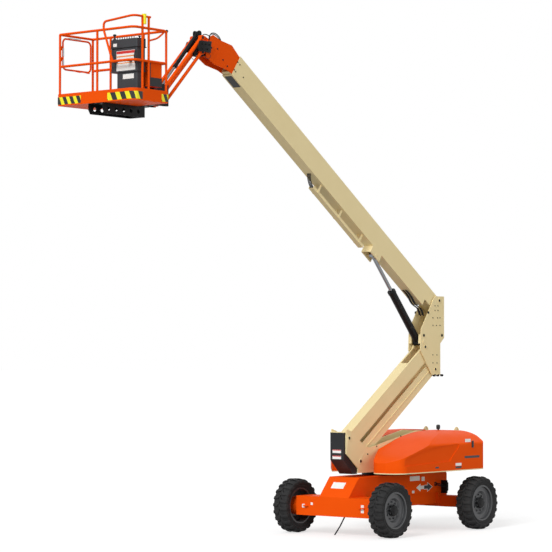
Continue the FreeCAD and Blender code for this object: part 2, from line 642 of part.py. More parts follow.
# ---- lower arm, timing link, upright ----------------------------------------------------
def lower_arm():
    angle = ARM_ANGLE
    # going up the arm its top lies to the right, so the heights are negative upwards
    body = bar(ARM_PIVOT, angle, (-60, ARM_LENGTH + 60), (-ARM_ABOVE, ARM_BELOW), -ARM_HALF, ARM_HALF)
    hollow = bar(ARM_PIVOT, angle, (120, ARM_LENGTH + 80), (-ARM_ABOVE + ARM_WALL, ARM_BELOW + 1),
                 -ARM_HALF + ARM_WALL, ARM_HALF - ARM_WALL)
    middle = LIFT_EYE_HALF + CLEAR
    gap = bar(ARM_PIVOT, angle, (ARM_LENGTH - ARM_SLOT, ARM_LENGTH + 80), (-ARM_ABOVE - 1, ARM_BELOW + 1),
              -middle, middle)
    body = body.cut(hollow).cut(gap)
    ends = []
    for along, reach in ((0.0, SIDE_GAP_HALF), (ARM_LENGTH, UPRIGHT_HALF - UPRIGHT_PLATE)):
        point = shift(ARM_PIVOT, angle, along)
        ends += both_sides(ring(point, BOSS_RADIUS, PIN_RADIUS + RUNNING, middle, reach - 1))
    eye = shift(ARM_PIVOT, angle, LOWER_EYE_ALONG, LOWER_EYE_BELOW)
    bosses = both_sides(pin(eye, BOSS_RADIUS, ARM_HALF - ARM_WALL - 18, ARM_HALF))
    bolts = both_sides(pin(eye, PIN_RADIUS, LOWER_EYE_HALF + CLEAR, ARM_HALF))
    heel = bar(ARM_PIVOT, angle, (-61, ARM_HEEL[0]), (ARM_HEEL[1], ARM_BELOW + 1), -ARM_HALF - 1, ARM_HALF + 1)
    body = fuse([body.cut(heel)] + ends + bosses + bolts)
    for along in (0.0, ARM_LENGTH):
        point = shift(ARM_PIVOT, angle, along)
        body = body.cut(pin(point, PIN_RADIUS + RUNNING, -400, 400))
    return body


def timing_link():
    angle = ARM_ANGLE
    webs = both_sides(bar(LINK_LOWER, angle, (-45, ARM_LENGTH + 45), (-LINK_ABOVE, LINK_BELOW),
                          LINK_HALF - LINK_WEB, LINK_HALF, 30.0))
    webs += both_sides(bar(LINK_LOWER, angle, (60, ARM_LENGTH - 60), (-LINK_LIP, 8 - LINK_LIP),
                           LINK_HALF - 1, LINK_HALF + 8))
    ties = []
    for along in (ARM_LENGTH - 830, ARM_LENGTH - 180):
        point = shift(LINK_LOWER, angle, along, LINK_BELOW - 25)
        ties.append(pin(point, 20.0, -LINK_HALF + 5, LINK_HALF - 5))
    body = fuse(webs + ties)
    for point in (LINK_LOWER, LINK_UPPER):
        body = body.cut(pin(point, PIN_RADIUS + RUNNING, -400, 400))
    return body


def upright_outline():
    x, z = ARM_UPPER
    link_x, link_z = LINK_UPPER
    top_x, top_z = BOOM_PIVOT
    base_x, base_z = LIFT_BASE
    return [(top_x + 120, top_z + 70), (top_x - 139, top_z + 70), (top_x - 137, z + 159), (link_x - 137, z + 59),
            (link_x - 137, link_z - 99), (link_x + 114, link_z - 99), (x + 146, z - 60),
            (base_x + 89, base_z + 112), (base_x + 80, base_z + 216), (top_x + 170, top_z + 27)]


def upright():
    inner = UPRIGHT_HALF - UPRIGHT_PLATE
    plates = both_sides(side_plate(upright_outline(), inner, UPRIGHT_HALF, 10.0))
    x, z = LIFT_BASE
    flanges = both_sides(side_plate([(x + 79, z - 30), (x + 91, z - 30), (x + 79, z + 130), (x + 67, z + 130)],
                                    LIFT_EYE_HALF + CLEAR, inner))
    x, z = BOOM_PIVOT
    back = box(x - 137, x - 125, -inner, inner, ARM_UPPER[1] + 189, z - 238)
    pieces = plates + flanges + [back]
    for point, reach in ((ARM_UPPER, LIFT_EYE_HALF + CLEAR), (LINK_UPPER, LINK_HALF - LINK_WEB),
                         (BOOM_PIVOT, 0.0), (LIFT_BASE, LIFT_EYE_HALF + CLEAR)):
        pieces += both_sides(pin(point, PIN_RADIUS, reach, UPRIGHT_HALF + 6))
        pieces += both_sides(pin(point, PIN_RADIUS + 12, UPRIGHT_HALF, UPRIGHT_HALF + 6))
    return fuse(pieces)


# ---- upper boom ------------------------------------------------------------------------
def boom_base():
    low = BOOM_ABOVE - BOOM_HEIGHT
    outer = bar(BOOM_PIVOT, BOOM_ANGLE, (BOOM_TAIL, BOOM_TIP), (low, BOOM_ABOVE), -BOOM_HALF, BOOM_HALF)
    hollow = bar(BOOM_PIVOT, BOOM_ANGLE, (250.0, BOOM_TIP + 1), (low + BOOM_WALL, BOOM_ABOVE - BOOM_WALL),
                 -BOOM_HALF + BOOM_WALL, BOOM_HALF - BOOM_WALL)
    corner = bar(BOOM_PIVOT, BOOM_ANGLE, (BOOM_TAIL - 1, 330.0), (low - 1, low + 120.0), -200, 200)
    body = outer.cut(hollow).cut(corner)
    body = fuse([body] + boom_bracket() + wear_pads())
    return body.cut(pin(BOOM_PIVOT, PIN_RADIUS + RUNNING, -400, 400))


def wear_pads():
    """Blocks inside the boom's mouth that the fly boom slides on."""
    low, high = BOOM_ABOVE - BOOM_HEIGHT + BOOM_WALL, BOOM_ABOVE - BOOM_WALL
    half = BOOM_HALF - BOOM_WALL
    thick = FLY_CLEARANCE - RUNNING
    along = (BOOM_TIP - PAD_LENGTH, BOOM_TIP - 10)
    pads = []
    for above in ((low - 1, low + thick), (high - thick, high + 1)):
        pads.append(bar(BOOM_PIVOT, BOOM_ANGLE, along, above, -half + 40, half - 40))
    middle = (low + high) / 2
    pads += both_sides(bar(BOOM_PIVOT, BOOM_ANGLE, along, (middle - 60, middle + 60), half - thick, half + 1))
    return pads


def boom_bracket():
    """Block under the boom that carries the lift cylinder's rod eye between two cheeks."""
    low = BOOM_ABOVE - BOOM_HEIGHT
    cheek = bar(BOOM_PIVOT, BOOM_ANGLE, (EYE_ALONG - 120, EYE_ALONG + 170), (low - 130, low + BOOM_WALL),
                BOOM_HALF - 22, BOOM_HALF)
    front = bar(BOOM_PIVOT, BOOM_ANGLE, (EYE_ALONG + 160, EYE_ALONG + 172), (low - 130, low + BOOM_WALL),
                -BOOM_HALF, BOOM_HALF)
    bolt = pin(EYE, BOOM_EYE_PIN, -BOOM_HALF - 4, BOOM_HALF + 4)
    return both_sides(cheek) + [front, bolt]


def fly_boom():
    low = BOOM_ABOVE - BOOM_HEIGHT + BOOM_WALL + FLY_CLEARANCE
    high = BOOM_ABOVE - BOOM_WALL - FLY_CLEARANCE
    half = BOOM_HALF - BOOM_WALL - FLY_CLEARANCE
    start = BOOM_TIP - FLY_STROKE - 900.0
    outer = bar(BOOM_PIVOT, BOOM_ANGLE, (start, BOOM_TIP + 60), (low, high), -half, half)
    inner = bar(BOOM_PIVOT, BOOM_ANGLE, (start - 1, BOOM_TIP + 61), (low + FLY_WALL, high - FLY_WALL),
                -half + FLY_WALL, half - FLY_WALL)
    return outer.cut(inner)


def boom_nose():
    """Head of the fly boom: cheeks, a cross web and the tongue that carries the jib bracket."""
    top, bottom = BOOM_ABOVE - 20, BOOM_ABOVE - BOOM_HEIGHT + 20
    x, z = NOSE_PIVOT
    outline = [shift(BOOM_PIVOT, BOOM_ANGLE, BOOM_TIP + 4, top), (x - 609, z + 160), (x - 320, z + 215),
               (x - 160, z + 280), (x - 85, z + 245), (x - 75, z + 140), (x - 10, z + 90), (x + 15, z),
               (x, z - 80), (x - 180, z - 180), (x - 470, z - 235),
               shift(BOOM_PIVOT, BOOM_ANGLE, BOOM_TIP + 4, bottom)]
    half = BOOM_HALF - 5
    inner = BOOM_HALF - BOOM_WALL - FLY_CLEARANCE
    cheeks = both_sides(side_plate(outline, inner, half))
    collar = bar(BOOM_PIVOT, BOOM_ANGLE, (BOOM_TIP + 4, BOOM_TIP + 60), (bottom, top), -half, half)
    low = BOOM_ABOVE - BOOM_HEIGHT + BOOM_WALL + FLY_CLEARANCE
    high = BOOM_ABOVE - BOOM_WALL - FLY_CLEARANCE
    socket = bar(BOOM_PIVOT, BOOM_ANGLE, (BOOM_TIP, BOOM_TIP + 61), (low, high), -inner, inner)
    web = box(x - 230, x - 214, -half, half, z - 150, z + 235)
    tongue = side_plate([(x - 215, z - 90), (x - 215, z + 110), (x - 40, z + 60), (x + 45, z + 40), (x + 45, z - 50)],
                        -TONGUE_HALF, TONGUE_HALF, [0, 0, 40, 35, 35])
    reach = TONGUE_HALF + BRACKET_SHEET + 10
    return fuse(cheeks + [collar.cut(socket), web, tongue, pin(NOSE_PIVOT, NOSE_PIN, -reach, reach)])


# ---- jib -------------------------------------------------------------------------------
def jib_bracket():
    """Fork that hangs level on the boom's tongue and carries the jib's three lower pivots."""
    inner = TONGUE_HALF + 2.0
    outer = inner + BRACKET_SHEET
    x, z = JIB_TOP_PIVOT
    nx, nz = NOSE_PIVOT
    outline = [(nx - 45, nz - 45), (nx - 45, nz + 60), (x - 60, z - 60), (x - 45, z + JIB_CYLINDER_RISE + 45),
               (x + 45, z + JIB_CYLINDER_RISE + 45), (x + 55, z - JIB_OFFSET - 60), (x - 60, z - JIB_OFFSET - 60)]
    cheeks = both_sides(side_plate(outline, inner, outer, [35, 25, 20, 40, 40, 30, 20]))
    core = box(x - 45, x + 45, -outer + 1, outer - 1, z - JIB_OFFSET - 50, z - JIB_OFFSET + 50)
    body = fuse(cheeks + [core]).cut(pin(NOSE_PIVOT, NOSE_PIN + RUNNING, -400, 400))
    reach = JIB_SPREAD + JIB_EYE_HALF
    pins = both_sides(pin(JIB_TOP_PIVOT, JIB_PIN, inner, reach))
    pins += [pin(JIB_LOW_PIVOT, JIB_PIN, -reach, reach), pin(JIB_CYLINDER_PIVOT, JIB_PIN, -outer - 4, outer + 4)]
    return fuse([body] + pins)


def jib_tubes(start, end, radius):
    shapes = []
    for side in (-1, 1):
        y = side * JIB_SPREAD
        rod = rod_between(at(start, y), at(end, y), radius)
        eyes = [pin(p, JIB_TUBE + 8, y - JIB_EYE_HALF, y + JIB_EYE_HALF) for p in (start, end)]
        shapes += [rod] + eyes
    body = fuse(shapes)
    for p in (start, end):
        body = body.cut(pin(p, JIB_PIN + RUNNING, -400, 400))
    return body


def jib_yoke():
    pieces = []
    inner = JIB_SPREAD + JIB_EYE_HALF + 1.0
    for point in (JIB_TOP_END, JIB_LOW_END):
        pieces += both_sides(pin(point, JIB_PIN, JIB_SPREAD - JIB_EYE_HALF + 4, inner + 1))
    x, z = JIB_TOP_END
    web = side_plate([(x - 45, z + 50), (x + 60, z + 60), (ROTATOR_X - 60, z + 50), (ROTATOR_X - 60, z - 280),
                      (x + 60, z - 280), (x - 45, z - 275)], inner, inner + YOKE_SHEET, 12.0)
    pieces += both_sides(web)
    pieces.append(box(ROTATOR_X - 120, ROTATOR_X - 60, -inner - 5, inner + 5, z - 280, z + 50))
    return fuse(pieces)


def rotator():
    z = JIB_TOP_END[1]
    body = cyl(V(ROTATOR_X, 0, z - 290), UP, ROTATOR_RADIUS, 350)
    return body.cut(box(ROTATOR_X - 300, ROTATOR_X - 60, -200, 200, z - 400, z + 200))


def cylinder_barrel(base, tip, radius, length, eye, half, lip=8.0):
    """Barrel along a line from its base pin, with an eye and a gland."""
    d = tip.sub(base).normalize()
    start = base.add(V(d).multiply(eye * 0.8))
    barrel = cyl(start, d, radius, length - eye * 0.8)
    gland = cyl(base.add(V(d).multiply(length - 40)), d, radius + lip, 55)
    ring_eye = cyl(V(base.x, -half, base.z), ACROSS, eye, 2 * half)
    return fuse([barrel, gland, ring_eye])


def bored(barrel, base, tip, radius, start):
    d = tip.sub(base).normalize()
    return barrel.cut(cyl(base.add(V(d).multiply(start)), d, radius, 4000))


def cylinder_rod(base, tip, radius, start, eye, half, hole):
    d = tip.sub(base).normalize()
    total = tip.sub(base).Length
    rod = cyl(base.add(V(d).multiply(start)), d, radius, total - start - eye * 0.6)
    ring_eye = cyl(V(tip.x, -half, tip.z), ACROSS, eye, 2 * half)
    bore = cyl(V(tip.x, -half - 1, tip.z), ACROSS, hole, 2 * half + 2)
    return fuse([rod, ring_eye]).cut(bore)


# ---- platform --------------------------------------------------------------------------
def platform_support():
    z1 = PLATFORM_BOTTOM
    z0 = z1 - 160
    half = 150.0
    x0, x1 = ROTATOR_X + ROTATOR_RADIUS + 70, PLATFORM_FRONT - 10
    web = side_plate([(x0, z0), (x1 - 40, z0), (x1, z0 + 60), (x1, z1), (x0, z1)], half - 8, half)
    for i in range(5):
        web = web.cut(pin((x0 + 140 + 160 * i, (z0 + z1) / 2), 32.0, half - 20, half + 10))
    webs = both_sides(web)
    top = box(x0, x1, -half, half, z1 - 8, z1)
    post = box(x0, x0 + 60, -half, half, z0, JIB_TOP_END[1] + 40)
    z = JIB_TOP_END[1]
    arms = []
    for low in (z - 290 - 25 - RUNNING, z + 60 + RUNNING):
        arm = flat_plate([(x0 + 10, -half), (x0 + 10, half), (ROTATOR_X, 95), (ROTATOR_X - 40, 60),
                          (ROTATOR_X - 40, -60), (ROTATOR_X, -95)], low, low + 25)
        arms.append(arm)
    tall = box(x0, x0 + 20, -half, half, z0, z + 60 + 25)
    return fuse(webs + [top, post, tall] + arms)


def platform_floor():
    x0, x1, y = PLATFORM_REAR, PLATFORM_FRONT, HALF_LENGTH
    corners = [(x0, -y), (x1, -y), (x1, y), (x0, y)]
    radii = [20, 20, CORNER_RADIUS, 20]
    floor = flat_plate(corners, PLATFORM_BOTTOM, PLATFORM_BOTTOM + FLOOR_THICKNESS, radii)
    toe = flat_plate(corners, PLATFORM_BOTTOM, PLATFORM_BOTTOM + TOE_HEIGHT, radii)
    t = TOE_WALL
    inner = [(x0 + t, -y + t), (x1 - t, -y + t), (x1 - t, y - t), (x0 + t, y - t)]
    toe = toe.cut(flat_plate(inner, PLATFORM_BOTTOM - 1, PLATFORM_BOTTOM + TOE_HEIGHT + 1,
                             [max(r - t, 1) for r in radii]))
    x0, x1, y = x0 + DECK_INSET, x1 - DECK_INSET, y - DECK_INSET
    deck = flat_plate([(x0, -y), (x1, -y), (x1, y), (x0, y)], PLATFORM_BOTTOM + 1,
                      PLATFORM_BOTTOM + FLOOR_THICKNESS + DECK_RISE, [10, 10, 60, 10])
    return fuse([floor, toe, deck])


def rail_lines():
    """Centre lines of the rails: rear and front x, and half of the length in y."""
    return PLATFORM_REAR + RAIL_INSET, PLATFORM_FRONT - RAIL_INSET, HALF_LENGTH - RAIL_INSET


def platform_rails():
    x0, x1, y = rail_lines()
    r = RAIL_RADIUS
    low = PLATFORM_BOTTOM + FLOOR_THICKNESS
    bends = (CORNER_RADIUS - RAIL_INSET, 60.0)
    pieces = []
    for z in (RAIL_TOP - r, MID_RAIL):
        pieces.append(bent_tube([V(x1, -y, z), V(x1, y, z), V(x0, y, z), V(x0, -y, z)], r, bends))
    pieces.append(rod_between(V(x0, -y, RAIL_TOP - r), V(x1, -y, RAIL_TOP - r), POST_RADIUS))
    for px, py in ((x1, -y), (x1, 20.0), (x0, -y), (x0, y), (x0, -380.0), (x0, 300.0)):
        pieces.append(cyl(V(px, py, low), UP, POST_RADIUS, RAIL_TOP - r - low))
    for px in (x1 - 190, x1 - 325):
        pieces.append(cyl(V(px, y, low), UP, POST_RADIUS, RAIL_TOP + HOOP_RISE - low))
    hoop = [V(x1, 330, MID_RAIL), V(x1, 150, RAIL_TOP - 20), V(x1, 150, RAIL_TOP + 100),
            V(x1, y, RAIL_TOP + HOOP_RISE), V(x1 - 360, y, RAIL_TOP + HOOP_RISE)]
    pieces.append(bent_tube(hoop, HOOP_RADIUS, (60.0, 60.0, 80.0)))
    return fuse(pieces)


def platform_gate():
    x0, x1, y = rail_lines()
    y = -y
    r = GATE_RADIUS
    pivot = gate_pivot()
    left, right = x0 + POST_RADIUS + GATE_GAP + r, pivot[0] - 30
    z0, z1 = MID_RAIL - 30, RAIL_TOP - 2 * RAIL_RADIUS - GATE_GAP - r
    loop = rounded_wire([V(left, y, z0), V(right, y, z0), V(right, y, z1), V(left, y, z1)], 70.0)
    profile = Part.Wire(Part.makeCircle(r, V((left + right) / 2, y, z0), V(1, 0, 0)))
    pieces = [loop.makePipeShell([profile], True, False)]
    for z in (z0 + 120, z1 - 180):
        pieces.append(box(right - 5, pivot[0], y - 5, y + 5, z, z + 60))
        pieces.append(cyl(V(pivot[0], y, z), UP, 12.0, 60.0))
    return fuse(pieces)


def gate_pivot():
    """Hinge line of the gate, as an (x, y) pair."""
    x0, x1, y = rail_lines()
    return (x1 - POST_RADIUS - 12.0 - RUNNING, -y)


def console():
    """Control box: a narrow base, the box, and a head that overhangs it; two brackets hang it on the mid rail."""
    rail_x = rail_lines()[1] - RAIL_RADIUS
    x1 = rail_x - CONSOLE_SETBACK
    y1 = rail_lines()[2] - RAIL_RADIUS - 30
    x0, y0 = x1 - CONSOLE_DEPTH, y1 - CONSOLE_WIDTH
    foot = PLATFORM_BOTTOM + CONSOLE_FOOT
    waist, head, top = [PLATFORM_BOTTOM + h for h in (CONSOLE_WAIST, CONSOLE_HEAD, CONSOLE_TOP)]
    pieces = []
    for (rear, right, front, left), low, high in (((20, 95, 20, 12), foot, waist + 1), ((0, 0, 0, 0), waist, head + 1),
                                                  ((-8, -8, -8, -8), head, top)):
        corners = [(x0 + rear, y0 + right), (x1 - front, y0 + right), (x1 - front, y1 - left), (x0 + rear, y1 - left)]
        pieces.append(flat_plate(corners, low, high, [20, 20, 20, 20]))
    for y in (y0 + 110, y1 - 110):
        pieces.append(box(x1 - 10, rail_x - RUNNING, y - 25, y + 25, MID_RAIL - 12, MID_RAIL + 12))
    return fuse(pieces)


def document_box():
    y1 = rail_lines()[2] - RAIL_RADIUS - RUNNING
    return box(PLATFORM_REAR + 100, PLATFORM_REAR + 380, y1 - 110, y1, PLATFORM_BOTTOM + 230, PLATFORM_BOTTOM + 600)


# ---- assembly --------------------------------------------------------------------------
def build_chassis():
    node("chassis_frame", chassis_frame())
    node("drive_axle", drive_axle())
    node("steer_axle", steer_axle())
    node("slew_ring", slew_ring())
    for name, side in (("left", 1), ("right", -1)):
        node("steer_knuckle_" + name, steer_knuckle(side))
        for end, x in (("drive", WHEEL_X), ("steer", -WHEEL_X)):
            node("tyre_" + end + "_" + name, tyre(x, side))
            node("rim_" + end + "_" + name, rim(x, side))
    node("tie_rod", tie_rod())


def build_turntable():
    node("turntable_frame", turntable_frame())
    node("counterweight", counterweight())
    node("front_cover", front_cover())
    left = hood()
    node("hood_left", left)
    node("hood_right", left.mirror(V(0, 0, 0), ACROSS))
    floor = DECK_BOTTOM + DECK_PLATE
    inner = SIDE_GAP_HALF + SIDE_PLATE + 60
    front = HOOD_FRONT_INNER - HOOD_WALL - 2 * CLEAR
    node("battery_block", box(-1200, front, inner, HOOD_OUTER - 160, floor, floor + 260))
    node("power_block", box(-1200, front, -HOOD_OUTER + 160, -inner, floor, floor + 260))


def lower_eye():
    return shift(ARM_PIVOT, ARM_ANGLE, LOWER_EYE_ALONG, LOWER_EYE_BELOW)


def build_tower():
    node("lower_arm", lower_arm())
    node("timing_link", timing_link())
    node("upright", upright())
    base, tip = at(LOWER_BASE), at(lower_eye())
    barrel = cylinder_barrel(base, tip, LOWER_BARREL, LOWER_BARREL_LENGTH, 62.0, 60.0, 4.0)
    barrel = barrel.cut(pin(LOWER_BASE, PIN_RADIUS + RUNNING, -200, 200))
    node("lower_lift_barrel", bored(barrel, base, tip, LOWER_ROD + RUNNING, 160.0))
    node("lower_lift_rod", cylinder_rod(base, tip, LOWER_ROD, LOWER_BARREL_LENGTH - 480, 50.0, LOWER_EYE_HALF,
                                        PIN_RADIUS))


def build_boom():
    node("boom_base", boom_base())
    node("fly_boom", fly_boom())
    node("boom_nose", boom_nose())
    base, tip = at(LIFT_BASE), at(EYE)
    barrel = cylinder_barrel(base, tip, 66.0, 1150.0, 66.0, LIFT_EYE_HALF, 6.0)
    node("boom_lift_barrel", bored(barrel, base, tip, 32.3, 160.0))
    node("boom_lift_rod", cylinder_rod(base, tip, 32.0, 1150.0 - 380, 44.0, BOOM_EYE_HALF,
                                       BOOM_EYE_PIN + RUNNING))


def build_jib():
    node("jib_bracket", jib_bracket())
    node("jib_upper_tubes", jib_tubes(JIB_TOP_PIVOT, JIB_TOP_END, JIB_TUBE))
    node("jib_lower_tubes", jib_tubes(JIB_LOW_PIVOT, JIB_LOW_END, JIB_TUBE - 4))
    node("jib_yoke", jib_yoke())
    node("rotator", rotator())
    base, tip = at(JIB_CYLINDER_PIVOT), at(JIB_TOP_END)
    barrel = cylinder_barrel(base, tip, JIB_BARREL, 760.0, JIB_PIN + 12, TONGUE_HALF - 2, 4.0)
    barrel = barrel.cut(pin(JIB_CYLINDER_PIVOT, JIB_PIN + RUNNING, -200, 200))
    node("jib_lift_barrel", bored(barrel, base, tip, 18.3, 120.0))
    node("jib_lift_rod", cylinder_rod(base, tip, 18.0, 760.0 - 320, 32.0, 24.0, JIB_PIN - 4))


def build_platform():
    node("platform_support", platform_support())
    node("platform_floor", platform_floor())
    node("platform_rails", platform_rails())
    node("platform_gate", platform_gate())
    node("platform_console", console())
    node("document_box", document_box())


def build():
    build_chassis()
    build_turntable()
    build_tower()
    build_boom()
    build_jib()
    build_platform()
    for name, shape in NODES.items():
        shape.translate(V(-ORIGIN_X, 0, 0))
        shape.exportStep(PARTS_DIR + "/" + name + ".step")


build()
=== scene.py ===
# %% [markdown]
# # An articulating boom lift, dressed in Blender
# A boom lift raises a platform on a folding lower arm and a telescoping boom. Its solids were drawn in CAD
# and arrive here as a fixed frame. This lesson gives each of them its finish, and adds what is too small or
# too soft for the CAD model: nuts, hoses, labels, stripes and tread. Every new piece rides on a CAD body.

# %% Load the frame
import math
import bpy
from mathutils import Matrix, Vector


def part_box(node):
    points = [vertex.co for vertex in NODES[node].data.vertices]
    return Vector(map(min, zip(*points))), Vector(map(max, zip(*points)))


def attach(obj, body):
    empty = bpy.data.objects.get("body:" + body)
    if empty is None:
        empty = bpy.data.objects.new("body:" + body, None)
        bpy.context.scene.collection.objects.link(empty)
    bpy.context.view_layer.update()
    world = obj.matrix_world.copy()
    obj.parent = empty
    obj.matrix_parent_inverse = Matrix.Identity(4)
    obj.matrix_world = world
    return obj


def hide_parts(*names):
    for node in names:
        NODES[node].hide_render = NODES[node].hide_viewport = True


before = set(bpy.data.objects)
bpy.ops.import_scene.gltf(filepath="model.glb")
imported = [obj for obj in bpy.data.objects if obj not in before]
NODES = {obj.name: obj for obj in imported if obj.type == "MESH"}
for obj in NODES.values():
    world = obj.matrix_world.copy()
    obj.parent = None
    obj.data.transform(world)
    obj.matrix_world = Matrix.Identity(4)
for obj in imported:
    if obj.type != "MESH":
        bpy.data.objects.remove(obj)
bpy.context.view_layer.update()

# %% [markdown]
# ## Where the machine stands
# All places come from the CAD nodes' own boxes, so a piece goes where the CAD says. The slew ring's middle
# is the machine's centre, and the tyres stand on the floor at zero height.

# %% Reference places
def low(node):
    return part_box(node)[0]


def high(node):
    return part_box(node)[1]


CENTRE_X = (low("slew_ring").x + high("slew_ring").x) / 2
SIDE_NAMES = (("left", 1), ("right", -1))
print("centre of the turntable at x =", round(CENTRE_X, 4))

# %% [markdown]
# ## Camera
# A long lens from the front left, three metres above the floor and tilted up slightly. A long lens keeps the
# tall boom free from the widening that a short lens gives.

# %% Camera
CAMERA_PLACE = Vector((29.4045, 24.045, 3.132))
CAMERA_TILT = math.radians(1.749)
HEADING = Vector((-0.7716, -0.6361, 0.0)).normalized()

camera_data = bpy.data.cameras.new("camera")
camera_data.sensor_width = 36.0
camera_data.lens = 152.49
camera_data.clip_end = 500.0
camera = bpy.data.objects.new("camera", camera_data)
bpy.context.scene.collection.objects.link(camera)
gaze = HEADING * math.cos(CAMERA_TILT) + Vector((0, 0, 1)) * math.sin(CAMERA_TILT)
camera.location = CAMERA_PLACE
camera.rotation_euler = gaze.to_track_quat("-Z", "Y").to_euler()
bpy.context.scene.camera = camera
print("camera looks along", [round(c, 4) for c in gaze])

# %% [markdown]
# ## Colours and nodes
# Paint charts and screens give colours as sRGB hex values, but Blender's shaders count in linear light. One
# function turns the first into the second. Another adds a shader node, sets its inputs and links it, and
# three more add the nodes that most finishes share: noise, a blend of two tones, and a shallow relief.

# %% Colour and node helpers
def linear(code, alpha=1.0):
    channels = [int(code[i:i + 2], 16) / 255 for i in (1, 3, 5)]
    return tuple(c / 12.92 if c <= 0.04045 else ((c + 0.055) / 1.055) ** 2.4 for c in channels) + (alpha,)


def add(tree, kind, inputs=None, **settings):
    node = tree.nodes.new(kind)
    for key, value in settings.items():
        setattr(node, key, value)
    for key, value in (inputs or {}).items():
        if isinstance(value, bpy.types.NodeSocket):
            tree.links.new(value, node.inputs[key])
        else:
            node.inputs[key].default_value = value
    return node


def new_material(name):
    material = bpy.data.materials.new(name)
    material.use_nodes = True
    tree = material.node_tree
    tree.nodes.clear()
    return material, tree


def object_place(tree):
    return add(tree, "ShaderNodeTexCoord").outputs["Object"]


def close_material(tree, shader):
    add(tree, "ShaderNodeOutputMaterial", {"Surface": shader.outputs[0]})


def noise(tree, place, size_mm, detail):
    """A noise texture whose blotches are about this many millimetres across."""
    return add(tree, "ShaderNodeTexNoise", {"Vector": place, "Scale": 1000.0 / size_mm, "Detail": detail})


def two_tone(tree, factor, tone, other_tone):
    """A blend of two hex colours, as a colour output."""
    mix = add(tree, "ShaderNodeMix", {0: factor, 6: linear(tone), 7: linear(other_tone)}, data_type="RGBA")
    return mix.outputs[2]


def relief(tree, height, strength, depth):
    """A bump from a height output; the depth is in metres."""
    bump = add(tree, "ShaderNodeBump", {"Height": height, "Strength": strength, "Distance": depth})
    return bump.outputs["Normal"]

# %% [markdown]
# ## Studio
# A pale floor with no edge in sight, a white surround that only the camera and mirror-like surfaces see, and
# soft lamps: one broad key from the upper left of the camera and weak ones from the other side and behind.

# %% Floor, surround and lamps
def paint_floor(floor):
    material, tree = new_material("studio_floor_paint")
    coat = add(tree, "ShaderNodeBsdfDiffuse", {"Color": linear("#B4B4B4")})
    glow = add(tree, "ShaderNodeEmission", {"Color": (1, 1, 1, 1), "Strength": 0.62})
    path = add(tree, "ShaderNodeLightPath")
    seen = add(tree, "ShaderNodeMath", {0: path.outputs["Is Camera Ray"], 1: path.outputs["Is Glossy Ray"]},
               operation="MAXIMUM")
    both = add(tree, "ShaderNodeAddShader", {0: coat.outputs[0], 1: glow.outputs[0]})
    mix = add(tree, "ShaderNodeMixShader", {0: seen.outputs[0], 1: coat.outputs[0], 2: both.outputs[0]})
    close_material(tree, mix)
    floor.data.materials.append(material)


bpy.ops.object.select_all(action="DESELECT")
bpy.ops.mesh.primitive_plane_add(size=400.0, location=(0, 0, 0))
floor = bpy.context.object
floor.name = "studio_floor"
paint_floor(floor)

world = bpy.data.worlds.new("studio")
bpy.context.scene.world = world
world.use_nodes = True
world.node_tree.nodes.clear()
sky = world.node_tree
rays = add(sky, "ShaderNodeLightPath")
glossy = add(sky, "ShaderNodeMath", {0: rays.outputs["Is Camera Ray"], 1: rays.outputs["Is Glossy Ray"]},
             operation="MAXIMUM")
clear = add(sky, "ShaderNodeMath", {0: glossy.outputs[0], 1: rays.outputs["Is Transmission Ray"]},
            operation="MAXIMUM")
soft = add(sky, "ShaderNodeBackground", {"Color": (1, 1, 1, 1), "Strength": 0.40})
white = add(sky, "ShaderNodeBackground", {"Color": (1, 1, 1, 1), "Strength": 1.0})
shown = add(sky, "ShaderNodeMixShader", {0: clear.outputs[0], 1: soft.outputs[0], 2: white.outputs[0]})
add(sky, "ShaderNodeOutputWorld", {"Surface": shown.outputs[0]})


def lamp(name, heading, strength, softness):
    data = bpy.data.lights.new(name, "SUN")
    data.energy = strength
    data.angle = math.radians(softness)
    item = bpy.data.objects.new(name, data)
    bpy.context.scene.collection.objects.link(item)
    item.rotation_euler = Vector(heading).to_track_quat("-Z", "Y").to_euler()


lamp("key", (-0.80, -0.15, -0.55), 2.3, 25.0)
lamp("fill", (-0.25, -0.90, -0.15), 0.80, 50.0)
lamp("back", (0.60, 0.30, -0.60), 0.4, 50.0)
bpy.context.scene.view_settings.view_transform = "Standard"
print("studio ready")

# %% [markdown]
# ## Machine enamel
# Lift trucks are sprayed with two-part enamel over blasted steel. It dries to a satin skin with a faint
# orange peel, and large plates never look quite even, because the film's thickness drifts. So the colour
# wanders a little between two close tones over about 400 mm, and a shallow relief stands for the peel. Real
# peel is 2 to 3 mm across, too fine to show on a nine-metre machine, so it is drawn at 25 mm.

# %% Enamel finishes
PEEL_MM = 25.0
DRIFT_MM = 400.0


def enamel(name, tone, other_tone, roughness, shine):
    material, tree = new_material(name)
    place = object_place(tree)
    drift = noise(tree, place, DRIFT_MM, 3.0)
    peel = noise(tree, place, PEEL_MM, 1.0)
    colour = two_tone(tree, drift.outputs["Fac"], tone, other_tone)
    skin = relief(tree, peel.outputs["Fac"], 0.12, 0.001)
    rough = add(tree, "ShaderNodeMapRange", {"Value": drift.outputs["Fac"], "To Min": roughness - 0.05,
                                             "To Max": roughness + 0.07})
    paint = add(tree, "ShaderNodeBsdfPrincipled", {
        "Base Color": colour, "Roughness": rough.outputs[0], "Normal": skin, "IOR": 1.5,
        "Specular IOR Level": shine})
    close_material(tree, paint)
    return material


ORANGE = enamel("orange_machine_enamel", "#EF560C", "#E95009", 0.46, 0.03)
CREAM = enamel("cream_machine_enamel", "#F1DFAD", "#EAD7A3", 0.48, 0.10)
GREY = enamel("grey_machine_enamel", "#4A4B4D", "#404143", 0.30, 0.50)
BLACK = enamel("black_machine_enamel", "#151516", "#0F0F10", 0.42, 0.14)
print("enamels", [m.name for m in (ORANGE, CREAM, GREY, BLACK)])

